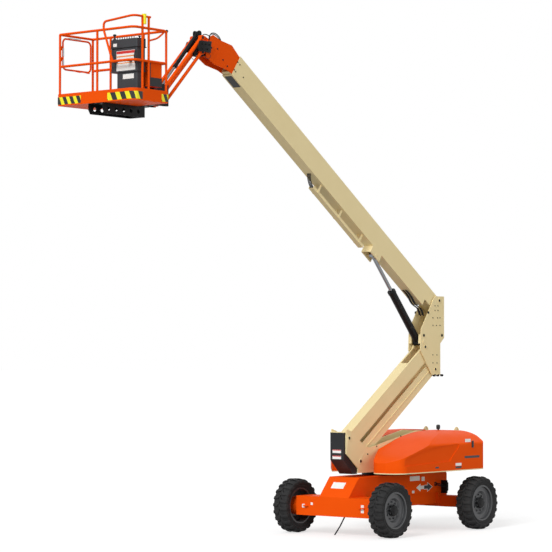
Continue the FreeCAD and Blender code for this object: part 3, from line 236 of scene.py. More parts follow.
# %% [markdown]
# ## Rubber
# Tyre rubber is filled with carbon black, so it is a deep grey and not black, and it scatters light widely.
# Its surface blooms and scuffs to a paler tone in patches, and is rough to the touch. Noise at two sizes
# gives the patches and the roughness.

# %% Rubber finishes
BLOOM_MM = 180.0


def rubber(name, tone, scuffed, roughness, grain_mm):
    material, tree = new_material(name)
    place = object_place(tree)
    bloom = noise(tree, place, BLOOM_MM, 4.0)
    grain = noise(tree, place, grain_mm, 2.0)
    colour = two_tone(tree, bloom.outputs["Fac"], tone, scuffed)
    skin = relief(tree, grain.outputs["Fac"], 0.35, 0.002)
    coat = add(tree, "ShaderNodeBsdfPrincipled", {
        "Base Color": colour, "Roughness": roughness, "Normal": skin, "IOR": 1.52,
        "Specular IOR Level": 0.15})
    close_material(tree, coat)
    return material


TYRE_RUBBER = rubber("vulcanised_tyre_rubber", "#252526", "#333333", 0.78, 14.0)
HOSE_RUBBER = rubber("black_hose_rubber", "#151516", "#1E1E1F", 0.50, 9.0)
print("rubbers", TYRE_RUBBER.name, HOSE_RUBBER.name)

# %% [markdown]
# ## Bare metals
# Cylinder rods are ground and hard-chromed: smooth and fairly dark, with faint marks from the grinding. The
# tie rod and the gate's grips are zinc plated, which is paler, duller and slightly patchy. Metals keep the
# default IOR, because their colour already says how they reflect.

# %% Metal finishes
def bare_metal(name, tone, other_tone, roughness, patch_mm, stretch):
    material, tree = new_material(name)
    place = object_place(tree)
    spread = add(tree, "ShaderNodeMapping", {"Vector": place, "Scale": stretch})
    patch = noise(tree, spread.outputs[0], patch_mm, 2.0)
    colour = two_tone(tree, patch.outputs["Fac"], tone, other_tone)
    rough = add(tree, "ShaderNodeMapRange", {"Value": patch.outputs["Fac"], "To Min": roughness * 0.75,
                                             "To Max": roughness * 1.3})
    metal = add(tree, "ShaderNodeBsdfPrincipled", {
        "Base Color": colour, "Metallic": 1.0, "Roughness": rough.outputs[0]})
    close_material(tree, metal)
    return material


CHROME = bare_metal("hard_chromed_steel", "#8C9093", "#777B7F", 0.20, 40.0, (1.0, 1.0, 6.0))
ZINC = bare_metal("zinc_plated_steel", "#A9ABAD", "#8D9092", 0.38, 25.0, (1.0, 1.0, 1.0))
print("metals", CHROME.name, ZINC.name)

# %% [markdown]
# ## Moulded plastics
# The tower's front cover is vacuum-formed from black polyethylene and the control box is injection-moulded
# charcoal ABS. Both have a leather-like grain from the mould, 1 to 2 mm across on the real thing and drawn
# at 8 mm here so that it catches the light.

# %% Plastic finishes
CLOUD_MM = 300.0


def moulded(name, tone, other_tone, roughness, grain_mm):
    material, tree = new_material(name)
    place = object_place(tree)
    grain = add(tree, "ShaderNodeTexVoronoi", {"Vector": place, "Scale": 1000.0 / grain_mm})
    cloud = noise(tree, place, CLOUD_MM, 2.0)
    colour = two_tone(tree, cloud.outputs["Fac"], tone, other_tone)
    skin = relief(tree, grain.outputs["Distance"], 0.25, 0.0015)
    plastic = add(tree, "ShaderNodeBsdfPrincipled", {
        "Base Color": colour, "Roughness": roughness, "Normal": skin, "IOR": 1.53,
        "Specular IOR Level": 0.25})
    close_material(tree, plastic)
    return material


COVER_PLASTIC = moulded("black_polyethylene", "#1B1B1D", "#232325", 0.40, 8.0)
BOX_PLASTIC = moulded("charcoal_abs", "#3B3D40", "#333538", 0.48, 8.0)
KNOB_PLASTIC = moulded("black_phenolic", "#141415", "#1C1C1D", 0.30, 5.0)
print("plastics", COVER_PLASTIC.name, BOX_PLASTIC.name, KNOB_PLASTIC.name)

# %% [markdown]
# ## Vinyl film
# Safety stripes, arrows and labels are cut or printed vinyl. Labels stay blank here: no words and no marks.
# Vinyl is a smooth thin plastic, a little glossier than the paint, and its face is never quite flat, which a
# very shallow, wide relief shows.

# %% Vinyl finishes
AGE_MM = 120.0


def vinyl(name, tone, aged):
    material, tree = new_material(name)
    place = object_place(tree)
    age = noise(tree, place, AGE_MM, 3.0)
    colour = two_tone(tree, age.outputs["Fac"], tone, aged)
    wave = relief(tree, age.outputs["Fac"], 0.08, 0.002)
    sheet = add(tree, "ShaderNodeBsdfPrincipled", {
        "Base Color": colour, "Roughness": 0.33, "Normal": wave, "IOR": 1.48})
    close_material(tree, sheet)
    return material


WHITE_VINYL = vinyl("white_vinyl_film", "#F1F1EE", "#E6E5E0")
BLACK_VINYL = vinyl("black_vinyl_film", "#161617", "#1F1F20")
YELLOW_VINYL = vinyl("yellow_vinyl_film", "#F6EE12", "#EDE40E")
RED_VINYL = vinyl("red_vinyl_film", "#D42A22", "#C8241D")
AMBER_VINYL = vinyl("amber_vinyl_film", "#E88A1C", "#DE8016")
print("films ready")

# %% [markdown]
# ## Platform deck
# The floor of the platform is pressed steel with a raised non-slip pattern. The pattern is a lattice of small
# diamonds, about 30 mm apart, so a relief from two crossed waves is enough.

# %% Deck finish
DIAMOND_MM = 30.0
WEAR_MM = 250.0
LATTICE_SCALE = 1000.0 / DIAMOND_MM / 6.283


def deck_steel():
    material, tree = new_material("non_slip_deck_enamel")
    place = object_place(tree)
    slanted = add(tree, "ShaderNodeMapping", {"Vector": place, "Rotation": (0, 0, math.radians(45.0))})
    one = add(tree, "ShaderNodeTexWave", {"Vector": slanted.outputs[0], "Scale": LATTICE_SCALE},
              wave_type="BANDS", bands_direction="X")
    two = add(tree, "ShaderNodeTexWave", {"Vector": slanted.outputs[0], "Scale": LATTICE_SCALE},
              wave_type="BANDS", bands_direction="Y")
    lattice = add(tree, "ShaderNodeMath", {0: one.outputs["Fac"], 1: two.outputs["Fac"]},
                  operation="MULTIPLY")
    raised = relief(tree, lattice.outputs[0], 0.6, 0.003)
    wear = noise(tree, place, WEAR_MM, 4.0)
    colour = two_tone(tree, wear.outputs["Fac"], "#EC561C", "#D04A18")
    steel = add(tree, "ShaderNodeBsdfPrincipled", {
        "Base Color": colour, "Roughness": 0.5, "Normal": raised, "IOR": 1.5})
    close_material(tree, steel)
    return material


DECK_STEEL = deck_steel()
print("deck", DECK_STEEL.name)

# %% [markdown]
# ## Finishes of the CAD nodes
# The CAD nodes keep their shape and only get a material. Chassis, hoods, platform and jib are orange; the
# tower, boom and turntable frame are cream; rims, rotator and cylinders are dark.

# %% Dress the CAD nodes
FINISHES = {
    ORANGE: ("chassis_frame", "drive_axle", "steer_axle", "hood_left", "hood_right", "platform_rails",
             "platform_gate", "platform_floor", "boom_nose", "jib_upper_tubes", "jib_lower_tubes",
             "document_box"),
    CREAM: ("turntable_frame", "counterweight", "lower_arm", "timing_link", "upright", "boom_base",
            "fly_boom"),
    GREY: ("rim_drive_left", "rim_drive_right", "rim_steer_left", "rim_steer_right", "power_block"),
    BLACK: ("slew_ring", "jib_bracket", "jib_yoke", "rotator", "platform_support", "boom_lift_barrel",
            "lower_lift_barrel", "jib_lift_barrel", "steer_knuckle_left", "steer_knuckle_right"),
    CHROME: ("boom_lift_rod", "lower_lift_rod", "jib_lift_rod"),
    ZINC: ("tie_rod",),
    COVER_PLASTIC: ("front_cover", "battery_block"),
    BOX_PLASTIC: ("platform_console",),
    TYRE_RUBBER: ("tyre_drive_left", "tyre_drive_right", "tyre_steer_left", "tyre_steer_right"),
}


def dress(node, material):
    mesh = NODES[node].data
    mesh.materials.clear()
    mesh.materials.append(material)


for material, nodes in FINISHES.items():
    for node in nodes:
        dress(node, material)
bare = sorted(set(NODES) - {n for nodes in FINISHES.values() for n in nodes})
print("nodes without a finish:", bare)

# %% [markdown]
# ## Drawing and placing new pieces
# Everything added here is modelled as by hand. A flat shape is drawn by extruding one vertex from point to
# point and filling the outline; it then gets its thickness from an extrude and soft edges from a bevel. A
# round shape is half a section, spun about its axis. All of them are drawn in the machine's own coordinates,
# so the finished objects sit at the origin, as the CAD nodes do.

# %% Outline, plate and turned shapes
WELD_GAP = 0.00005


def draw(name, points):
    """Extrude one vertex along the points; leaves the object in edit mode with all of it selected."""
    bpy.ops.object.select_all(action="DESELECT")
    bpy.ops.mesh.primitive_plane_add(size=0.01)
    piece = bpy.context.object
    piece.name = piece.data.name = name
    bpy.ops.object.mode_set(mode="EDIT")
    bpy.ops.mesh.merge(type="CENTER")
    bpy.ops.transform.translate(value=points[0])
    for start, end in zip(points, points[1:]):
        step = [b - a for a, b in zip(start, end)]
        bpy.ops.mesh.extrude_region_move(TRANSFORM_OT_translate={"value": step})
    bpy.ops.mesh.select_all(action="SELECT")
    return piece


def bevel_edges(piece, width, segments=2, angle=40.0):
    bpy.context.view_layer.objects.active = piece
    bevel = piece.modifiers.new("soft edges", "BEVEL")
    bevel.width = width
    bevel.segments = segments
    bevel.limit_method = "ANGLE"
    bevel.angle_limit = math.radians(angle)
    bpy.ops.object.modifier_apply(modifier=bevel.name)


def plate(name, points, thickness, edge=0.0, segments=1):
    """A flat shape filled inside its outline and extruded by a vector."""
    piece = draw(name, points)
    bpy.ops.mesh.edge_face_add()
    bpy.ops.mesh.extrude_region_move(TRANSFORM_OT_translate={"value": thickness})
    bpy.ops.mesh.select_all(action="SELECT")
    bpy.ops.mesh.normals_make_consistent(inside=False)
    bpy.ops.object.mode_set(mode="OBJECT")
    if edge:
        bevel_edges(piece, edge, segments)
    return piece


def turned(name, points, centre, axis, steps=48):
    """A half section, drawn as points, spun all the way round an axis."""
    piece = draw(name, points)
    bpy.ops.mesh.spin(steps=steps, angle=math.tau, center=centre, axis=axis)
    bpy.ops.mesh.select_all(action="SELECT")
    bpy.ops.mesh.remove_doubles(threshold=WELD_GAP)
    bpy.ops.mesh.normals_make_consistent(inside=False)
    bpy.ops.object.mode_set(mode="OBJECT")
    return piece


def pick(*pieces):
    """Select only these pieces; the first is the active one."""
    bpy.ops.object.select_all(action="DESELECT")
    for piece in pieces:
        piece.select_set(True)
    bpy.context.view_layer.objects.active = pieces[0]


def joined(name, pieces):
    pick(*pieces)
    bpy.ops.object.join()
    whole = bpy.context.view_layer.objects.active
    whole.name = whole.data.name = name
    return whole


def finished(piece, material, body, angle=35.0):
    """Smooth a piece, give it its material and let it ride on a CAD body."""
    pick(piece)
    bpy.ops.object.shade_smooth_by_angle(angle=math.radians(angle))
    piece.data.materials.clear()
    piece.data.materials.append(material)
    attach(piece, body)
    return piece


print("drawing helpers ready")

# %% [markdown]
# ## Films, heads and hoses
# Four small makers serve the rest of the lesson. A film is a plane cut to its size, with rounded corners and
# a millimetre of body, laid on a face. A head is a chamfered disc or hexagon on a side plate. A hose is an
# open NURBS curve with a round bevel. A tube is the same kind of curve, turned into a mesh.

# %% Film, heads, hose and tube
def film(name, centre, right, up, size, material, body, corner=0.006, body_height=0.0012):
    """A thin label on a face: its middle, the directions of its width and height, and its size."""
    right, up = Vector(right).normalized(), Vector(up).normalized()
    bpy.ops.object.select_all(action="DESELECT")
    bpy.ops.mesh.primitive_plane_add(size=1.0)
    piece = bpy.context.object
    piece.name = piece.data.name = name
    bpy.ops.object.mode_set(mode="EDIT")
    bpy.ops.transform.resize(value=(size[0], size[1], 1.0))
    bpy.ops.mesh.bevel(offset=corner, segments=3, affect="VERTICES")
    bpy.ops.mesh.extrude_region_move(TRANSFORM_OT_translate={"value": (0, 0, body_height)})
    bpy.ops.mesh.select_all(action="SELECT")
    bpy.ops.mesh.normals_make_consistent(inside=False)
    bpy.ops.object.mode_set(mode="OBJECT")
    turn = Matrix((right, up, right.cross(up))).transposed().to_4x4()
    turn.translation = Vector(centre)
    piece.matrix_world = turn
    bpy.ops.object.transform_apply(location=True, rotation=True, scale=True)
    return finished(piece, material, body)


def front_film(name, x, y, z, size, material, body, corner=0.006, body_height=0.0012):
    """A film on a face that looks along X."""
    return film(name, (x, y, z), (0, 1, 0), (0, 0, 1), size, material, body, corner, body_height)


def heads(name, spots, face, side, radius, height, material, body, corners=6):
    """Bolt or pin heads on a face that looks along Y; spots are (x, z) pairs."""
    section = ((0.0, -0.002), (radius, -0.002), (radius, 0.6 * height), (0.8 * radius, height), (0.0, height))
    pieces = []
    for x, z in spots:
        points = [(x, face + side * out, z + reach) for reach, out in section]
        pieces.append(turned(name, points, (x, face, z), (0, 1, 0), corners))
    return finished(joined(name, pieces), material, body)


def nurbs_line(name, points):
    """An open NURBS curve with the points as its control points."""
    data = bpy.data.curves.new(name, "CURVE")
    data.dimensions = "3D"
    line = data.splines.new("NURBS")
    line.points.add(len(points) - 1)
    for point, place in zip(line.points, points):
        point.co = (*place, 1.0)
    line.order_u = 3
    line.use_endpoint_u = True
    data.resolution_u = 10
    piece = bpy.data.objects.new(name, data)
    bpy.context.scene.collection.objects.link(piece)
    return piece


def hose(name, points, diameter, body):
    """A hose fixed at both ends, with a round bevel on its own curve."""
    piece = nurbs_line(name, points)
    bare = bpy.data.meshes.new_from_object(piece)
    bpy.data.meshes.remove(bare)
    piece.data.bevel_depth = diameter / 2
    piece.data.bevel_resolution = 3
    piece.data.use_fill_caps = True
    piece.data.materials.append(HOSE_RUBBER)
    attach(piece, body)
    return piece


def tube(name, points, diameter, material, body):
    piece = nurbs_line(name, points)
    piece.data.bevel_depth = diameter / 2
    piece.data.bevel_resolution = 4
    piece.data.use_fill_caps = True
    pick(piece)
    bpy.ops.object.convert(target="MESH")
    return finished(bpy.context.object, material, body, 40.0)


print("hose and tube helpers ready")

# %% [markdown]
# ## Tyres with lugs
# Rough-terrain lifts run on foam-filled tyres with deep bars that start at the middle of the tread and end
# on the shoulder, left and right in turn. The carcass is half a section spun about the axle. One bar is
# drawn as a section, extruded to its width, slanted and bevelled, and then repeated round the tyre with a
# duplicating spin. The result stands for the CAD tyre and keeps its width and radius.

# %% One tyre
TYRE_RADIUS = 0.457
HALF_TRACK = 1.0
BARS_A_SIDE = 22
CARCASS = ((0.290, 0.104), (0.303, 0.106), (0.312, 0.122), (0.330, 0.127), (0.334, 0.133), (0.341, 0.133),
           (0.346, 0.128), (0.375, 0.140), (0.380, 0.146), (0.387, 0.146), (0.392, 0.139), (0.412, 0.136),
           (0.424, 0.118), (0.430, 0.085), (0.433, 0.040))
BAR = ((-0.010, 0.424), (-0.010, 0.450), (0.030, 0.453), (0.070, 0.453), (0.105, 0.448), (0.132, 0.437),
       (0.147, 0.418), (0.150, 0.390), (0.136, 0.388), (0.120, 0.405), (0.070, 0.420), (0.030, 0.424))
BAR_WIDTH = 0.050
BAR_SLANT = 0.075


def carcass(name, x, y, z):
    half = [(x, y + offset, z + radius) for radius, offset in CARCASS]
    mirrored = [(x, y - offset, z + radius) for radius, offset in reversed(CARCASS)]
    return turned(name, half + mirrored + half[:1], (x, y, z), (0, 1, 0), 88)


def bar_row(name, x, y, z, side, turn):
    section = [(x - (BAR_WIDTH + BAR_SLANT) / 2, y + side * offset, z + radius) for offset, radius in BAR]
    bar = plate(name, section, (BAR_WIDTH, 0, 0))
    bpy.ops.object.mode_set(mode="EDIT")
    bpy.ops.mesh.select_all(action="DESELECT")
    bpy.ops.object.mode_set(mode="OBJECT")
    for low_end, slide in ((0.02, 0.35), (0.06, 0.35), (0.10, 0.30)):
        for vertex in bar.data.vertices:
            vertex.select = side * (vertex.co.y - y) > low_end
        bpy.ops.object.mode_set(mode="EDIT")
        bpy.ops.transform.translate(value=(BAR_SLANT * slide, 0, 0))
        bpy.ops.object.mode_set(mode="OBJECT")
    bevel_edges(bar, 0.006, 2, 30.0)
    bpy.ops.object.mode_set(mode="EDIT")
    bpy.ops.mesh.select_all(action="SELECT")
    bpy.ops.transform.rotate(value=turn, orient_axis="Y", center_override=(x, y, z))
    bpy.ops.mesh.spin(steps=BARS_A_SIDE - 1, dupli=True, angle=math.tau * (1 - 1 / BARS_A_SIDE),
                      center=(x, y, z), axis=(0, 1, 0))
    bpy.ops.object.mode_set(mode="OBJECT")
    return bar


def tyre(place, side, x):
    y, z = side * HALF_TRACK, TYRE_RADIUS
    name = "lugged_tyre_" + place
    rows = [bar_row(name + "_outer", x, y, z, side, 0.0),
            bar_row(name + "_inner", x, y, z, -side, math.pi / BARS_A_SIDE)]
    piece = joined(name, [carcass(name, x, y, z)] + rows)
    finished(piece, TYRE_RUBBER, "wheel_" + place, 40.0)
    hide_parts("tyre_" + place)
    return piece


WHEELS = []
for axle in ("drive", "steer"):
    for word, side in SIDE_NAMES:
        node = f"tyre_{axle}_{word}"
        middle = (low(node) + high(node)) / 2
        WHEELS.append((f"{axle}_{word}", side, middle.x))
tyres = [tyre(*wheel) for wheel in WHEELS]
print("tyres", [t.name for t in tyres], "faces each", len(tyres[0].data.polygons))

# %% [markdown]
# ## Rims, hub caps and wheel nuts
# Each rim is a dished steel disc in a rolled barrel. The hub cap is an eight-sided cast cover over the wheel
# motor, so it is half a section spun in eight steps, and its corners are bevelled. Nine nuts stand round it
# on the disc. A rolled lip and a weld bead are narrow rings, which catch the light along the barrel.

# %% Wheel fittings
HUB_SECTION = ((0.0, 0.030), (0.099, 0.030), (0.099, 0.078), (0.090, 0.095), (0.052, 0.098), (0.048, 0.104),
               (0.0, 0.104))
LIP_SECTION = ((0.280, 0.108), (0.283, 0.113), (0.290, 0.1165), (0.300, 0.1165), (0.306, 0.112),
               (0.306, 0.104), (0.300, 0.100), (0.284, 0.102))
RIB_SECTION = ((0.254, 0.072), (0.262, 0.080), (0.272, 0.080), (0.277, 0.074), (0.272, 0.070))
NUT_CIRCLE, NUT_RADIUS, NUT_LENGTH, NUT_OUT = 0.140, 0.017, 0.030, 0.044
NUTS = 9


def ring_piece(name, section, x, y, z, side, steps):
    points = [(x, y + side * offset, z + radius) for radius, offset in section]
    return turned(name, points + points[:1], (x, y, z), (0, 1, 0), steps)


def hub_cap(name, x, y, z, side):
    points = [(x, y + side * offset, z + radius) for radius, offset in HUB_SECTION]
    cap = turned(name, points, (x, y, z), (0, 1, 0), 8)
    bevel_edges(cap, 0.006, 2, 25.0)
    return cap


def wheel_nuts(name, x, y, z, side):
    bpy.ops.object.select_all(action="DESELECT")
    bpy.ops.mesh.primitive_cylinder_add(vertices=6, radius=NUT_RADIUS, depth=NUT_LENGTH,
                                        location=(x, y + side * NUT_OUT, z + NUT_CIRCLE),
                                        rotation=(math.pi / 2, 0, 0))
    nut = bpy.context.object
    nut.name = nut.data.name = name
    bpy.ops.object.transform_apply(location=True, rotation=True, scale=True)
    bevel_edges(nut, 0.003, 1, 60.0)
    bpy.ops.object.mode_set(mode="EDIT")
    bpy.ops.mesh.select_all(action="SELECT")
    bpy.ops.mesh.spin(steps=NUTS - 1, dupli=True, angle=math.tau * (NUTS - 1) / NUTS, center=(x, y, z),
                      axis=(0, 1, 0))
    bpy.ops.object.mode_set(mode="OBJECT")
    return nut


for place, side, x in WHEELS:
    y, z = side * HALF_TRACK, TYRE_RADIUS
    finished(hub_cap("hub_cap_" + place, x, y, z, side), BLACK, "wheel_" + place)
    lips = [ring_piece("rim_rings_" + place, LIP_SECTION, x, y, z, side, 64),
            ring_piece("rim_rib_" + place, RIB_SECTION, x, y, z, side, 64)]
    finished(joined("rim_rings_" + place, lips), GREY, "wheel_" + place, 60.0)
    finished(wheel_nuts("wheel_nuts_" + place, x, y, z, side), GREY, "wheel_" + place)
print("wheel fittings on", len(WHEELS), "wheels")

# %% [markdown]
# ## Chassis marks
# On each side a double arrow shows the driver which way is forward, because the platform may have swung
# round: white one way, black the other. Both halves are cut from film, so each is an outline with a little
# thickness, and the black one has a white border film under it. The labels round them stay blank.

# %% Direction arrows and blank labels
ARROW_MIDDLE = (-3.400, 0.722)
ARROW_HALF = ((0.0, 0.030), (0.105, 0.030), (0.105, 0.068), (0.230, 0.0), (0.105, -0.068), (0.105, -0.030),
              (0.0, -0.030))
BORDER_HALF = ((0.0, 0.038), (0.096, 0.038), (0.096, 0.082), (0.247, 0.0), (0.096, -0.082), (0.096, -0.038),
               (0.0, -0.038))
SIDE_LABELS = ((-3.130, 0.884, 0.285, 0.080), (-3.372, 0.868, 0.088, 0.070), (-3.083, 0.655, 0.070, 0.044))


def arrow(name, shape, side, way, lift, material):
    x, z = ARROW_MIDDLE
    face = side * (high("chassis_frame").y + lift)
    points = [(x + way * along, face, z + above) for along, above in shape]
    return finished(plate(name, points, (0, side * 0.001, 0)), material, "chassis")


for word, side in SIDE_NAMES:
    arrow("arrow_front_" + word, ARROW_HALF, side, 1, 0.0, WHITE_VINYL)
    arrow("arrow_border_" + word, BORDER_HALF, side, -1, 0.0, WHITE_VINYL)
    arrow("arrow_rear_" + word, ARROW_HALF, side, -1, 0.0011, BLACK_VINYL)
    face = side * high("chassis_frame").y
    for number, (x, z, width, tall) in enumerate(SIDE_LABELS):
        film(f"chassis_label_{word}_{number}", (x, face, z), (-side, 0, 0), (0, 0, 1), (width, tall),
             WHITE_VINYL, "chassis")
slope = Vector((-0.280, 0, 0.325)).normalized()
film("slope_label", (high("chassis_frame").x - 0.162, -0.033, 0.828), (0, 1, 0), slope, (0.262, 0.128),
     WHITE_VINYL, "chassis")
print("chassis films on both sides")

# %% [markdown]
# ## Drive beam labels
# The front face of the drive beam carries three blank labels of different sizes. They are films like those on
# the chassis sides, turned to look forward.

# %% Beam labels
beam_x = high("drive_axle").x - 0.045
BEAM_LABELS = ((-0.650, 0.475, 0.060, 0.062), (-0.470, 0.515, 0.046, 0.044), (0.595, 0.470, 0.060, 0.130))
for number, (y, z, width, tall) in enumerate(BEAM_LABELS):
    front_film(f"beam_label_{number}", beam_x, y, z, (width, tall), WHITE_VINYL, "chassis")
print("drive beam face at x =", round(beam_x, 3))

# %% [markdown]
# ## Hose bracket behind the turntable
# Drive hoses leave the chassis side through a grommet and are clamped in an upright black bracket. The
# bracket is a plate with one clamp block, which is a cube with rounded edges. The hoses end in the chassis
# and in the clamp, so each is fixed at both ends.

# %% Hose bracket and hoses
BRACKET_X, BRACKET_SHEET, BRACKET_DEEP, BRACKET_LOW, BRACKET_TALL = -3.900, 0.012, 0.135, 0.600, 0.225
CLAMP_SIZE = (0.060, 0.062, 0.150)
DRIVE_ROUTE = ((-3.735, -0.012, 0.778), (-3.742, 0.050, 0.775), (-3.790, 0.092, 0.755),
               (-3.850, 0.100, 0.740), (-3.905, 0.098, 0.738))
GROMMET = ((0.0, 0.803), (0.010, 0.801), (0.014, 0.795), (0.0, 0.790))
for word, side in SIDE_NAMES:
    root = side * high("chassis_frame").y
    edge = root + side * BRACKET_DEEP
    back = BRACKET_X - BRACKET_SHEET
    upright = plate("hose_bracket_" + word, [(BRACKET_X, root, BRACKET_LOW), (BRACKET_X, edge, BRACKET_LOW),
                                             (back, edge, BRACKET_LOW), (back, root, BRACKET_LOW)],
                    (0, 0, BRACKET_TALL), 0.002)
    middle = (-3.925, root + side * 0.095, 0.715)
    bpy.ops.object.select_all(action="DESELECT")
    bpy.ops.mesh.primitive_cube_add(size=1.0, location=middle)
    clamp = bpy.context.object
    bpy.ops.object.mode_set(mode="EDIT")
    bpy.ops.transform.resize(value=CLAMP_SIZE, center_override=middle)
    bpy.ops.mesh.bevel(offset=0.010, segments=3, affect="EDGES")
    bpy.ops.object.mode_set(mode="OBJECT")
    bpy.ops.object.transform_apply(location=True, rotation=True, scale=True)
    finished(joined("hose_bracket_" + word, [upright, clamp]), BLACK, "chassis")
    for number, drop in enumerate((0.0, 0.026)):
        points = [(x, root + side * out, z - drop) for x, out, z in DRIVE_ROUTE]
        hose(f"drive_hose_{word}_{number}", points, 0.016, "chassis")
    mouth_x = DRIVE_ROUTE[0][0]
    section = [(mouth_x, root + side * out, z) for out, z in GROMMET]
    ring = turned("hose_grommet_" + word, section, (mouth_x, root, 0.765), (0, 1, 0), 20)
    finished(ring, KNOB_PLASTIC, "chassis")
print("hose brackets on both sides")

# %% [markdown]
# ## Static strap
# A rubber strap under the drive beam trails to the floor and carries static charge away. It is a flat, thin
# band, drawn as a long narrow outline with its sides rounded, and it stops just short of the ground.

# %% Static strap
STRAP_END = 0.012
strap = plate("static_strap", [(beam_x - 0.030, 0.185, 0.322), (beam_x - 0.030, 0.215, 0.322),
                               (beam_x - 0.034, 0.120, 0.170), (beam_x - 0.036, 0.000, STRAP_END),
                               (beam_x - 0.036, -0.030, STRAP_END), (beam_x - 0.034, 0.090, 0.170)],
              (-0.006, 0, 0), 0.0015)
finished(strap, HOSE_RUBBER, "chassis")
print("strap ends", STRAP_END, "m above the floor")

# %% [markdown]
# ## Turntable marks
# The black front cover carries two small stickers with red headings. Each hood has blank labels and a latch.
# Every label is a film on its face, and a red heading is a second film on the first. A warning beacon, half a
# section spun about an upright axis, stands on the left hood and swings up with it.

# %% Cover stickers and hood labels
cover_x = high("front_cover").x
for number, z in enumerate((1.400, 1.300)):
    front_film(f"cover_sticker_{number}", cover_x, -0.003, z, (0.180, 0.056), WHITE_VINYL, "turntable", 0.003)
    front_film(f"cover_heading_{number}", cover_x, -0.003, z + 0.020, (0.174, 0.014), RED_VINYL, "turntable",
               0.002, 0.0022)
HOOD_FACE = high("hood_left").y
HOOD_FILMS = ((-3.672, 1.538, 0.164, 0.054, WHITE_VINYL), (-3.797, 1.255, 0.446, 0.040, BLACK_VINYL),
              (-3.392, 1.140, 0.172, 0.046, WHITE_VINYL), (-3.392, 1.090, 0.176, 0.034, BLACK_VINYL),
              (-2.770, 1.108, 0.100, 0.028, BLACK_VINYL))
LATCH = ((-3.842, 1.412), (-3.784, 1.412), (-3.784, 1.530), (-3.842, 1.530))
BEACON = ((0.0, -0.020), (0.016, -0.020), (0.016, 0.020), (0.034, 0.028), (0.036, 0.080), (0.026, 0.100),
          (0.0, 0.104))
BEACON_PLACE = (-3.794, 0.33, 1.690)
for word, side in SIDE_NAMES:
    hood = "hood_" + word
    face = side * HOOD_FACE
    for number, (x, z, width, tall, vinyl_kind) in enumerate(HOOD_FILMS):
        film(f"hood_film_{word}_{number}", (x, face, z), (-side, 0, 0), (0, 0, 1), (width, tall), vinyl_kind,
             hood, 0.004)
    latch = plate("hood_latch_" + word, [(x, face, z) for x, z in LATCH], (0, side * 0.008, 0), 0.003, 2)
    finished(latch, KNOB_PLASTIC, hood)
section = [(BEACON_PLACE[0] + out, BEACON_PLACE[1], BEACON_PLACE[2] + rise) for out, rise in BEACON]
beacon = turned("warning_beacon", section, BEACON_PLACE, (0, 0, 1), 24)
finished(beacon, KNOB_PLASTIC, "hood_left")
print("films and latches on both hoods, beacon at", BEACON_PLACE)

# %% [markdown]
# ## Pins and bolts of the turntable and the upright
# Link pins pass through the side plates and are held by a head that is bolted on. They show as dark round
# heads, and smaller hexagon heads hold the bearings. A head is a chamfered half section spun in six or
# sixteen steps.

# %% Pin heads and bolts
FRAME_PINS = ((-1.478, 1.621), (-1.792, 1.226))
FRAME_BOLTS = ((-1.986, 1.336), (-2.238, 1.462), (-2.922, 1.610))
UPRIGHT_PINS = ((-4.106, 3.954), (-3.775, 3.740), (-3.644, 3.342), (-4.184, 3.344), (-3.682, 3.142),
                (-3.984, 2.751))
UPRIGHT_BOLTS = ((-3.976, 3.860), (-4.066, 3.861), (-3.976, 3.781), (-4.066, 3.782), (-3.914, 3.649),
                 (-4.050, 3.650), (-4.126, 3.651), (-3.914, 3.518), (-4.020, 3.518), (-4.124, 3.519),
                 (-3.910, 3.002), (-4.030, 3.001), (-3.910, 2.862), (-4.030, 2.861))
UPRIGHT_FACE = 0.134
FRAME_FACE = 0.163
for word, side in SIDE_NAMES:
    heads("frame_pins_" + word, FRAME_PINS, side * FRAME_FACE, side, 0.026, 0.012, BLACK, "turntable", 16)
    heads("frame_bolts_" + word, FRAME_BOLTS, side * FRAME_FACE, side, 0.013, 0.009, BLACK, "turntable")
    heads("upright_pins_" + word, UPRIGHT_PINS, side * UPRIGHT_FACE, side, 0.024, 0.012, BLACK, "upright", 16)
    heads("upright_bolts_" + word, UPRIGHT_BOLTS, side * UPRIGHT_FACE, side, 0.011, 0.008, BLACK, "upright")
print("heads on the frame and the upright")

# %% [markdown]
# ## Upright fittings
# Three rubber bumpers hang under each side plate of the upright, where the folded arms come to rest. A bundle
# of four hoses arches from the boom's foot down between the plates. It is fixed at both ends and swings with
# the boom's foot.

# %% Bumpers and hose bundle
BUMPER = ((0.0, 0.0), (0.026, 0.0), (0.030, 0.012), (0.027, 0.034), (0.016, 0.040), (0.0, 0.040))
BUMPER_X, BUMPER_Y, BUMPER_Z = (-3.974, -4.080, -4.200), 0.118, 2.662
for word, side in SIDE_NAMES:
    rubbers = []
    for x in BUMPER_X:
        section = [(x + out, side * BUMPER_Y, BUMPER_Z - drop) for out, drop in BUMPER]
        rubbers.append(turned("bumper", section, (x, side * BUMPER_Y, BUMPER_Z), (0, 0, 1), 24))
    finished(joined("upright_bumpers_" + word, rubbers), HOSE_RUBBER, "upright")
BUNDLE = ((-3.274, 4.121), (-3.392, 4.054), (-3.508, 3.900), (-3.620, 3.850), (-3.714, 3.815),
          (-3.760, 3.700))
for number, y in enumerate((-0.045, -0.017, 0.017, 0.045)):
    drop = 0.016 * (number % 2)
    hose(f"boom_foot_hose_{number}", [(x, y, z - drop) for x, z in BUNDLE], 0.022, "upper_boom")
print("bumpers and hose bundle ready")

# %% [markdown]
# ## Cut-back front corner on the right
# On the right side the machine has no long nose: its hood and deck end at a slanted face behind the tower.
# The CAD hood is a mirrored one, so here a copy of it and of the turntable frame is cut with a Boolean and
# stands for the node. The hollow hood is closed by a wall, which is a slab cut to the hood's own outline.

# %% Trim the right hood and the deck
CUT_INNER, CUT_OUTER = (-1.494, -0.200), (-2.829, -1.300)
CUT_AHEAD_X = -0.900
CUT_LOW, CUT_TALL = 0.900, 0.950
WALL = 0.006


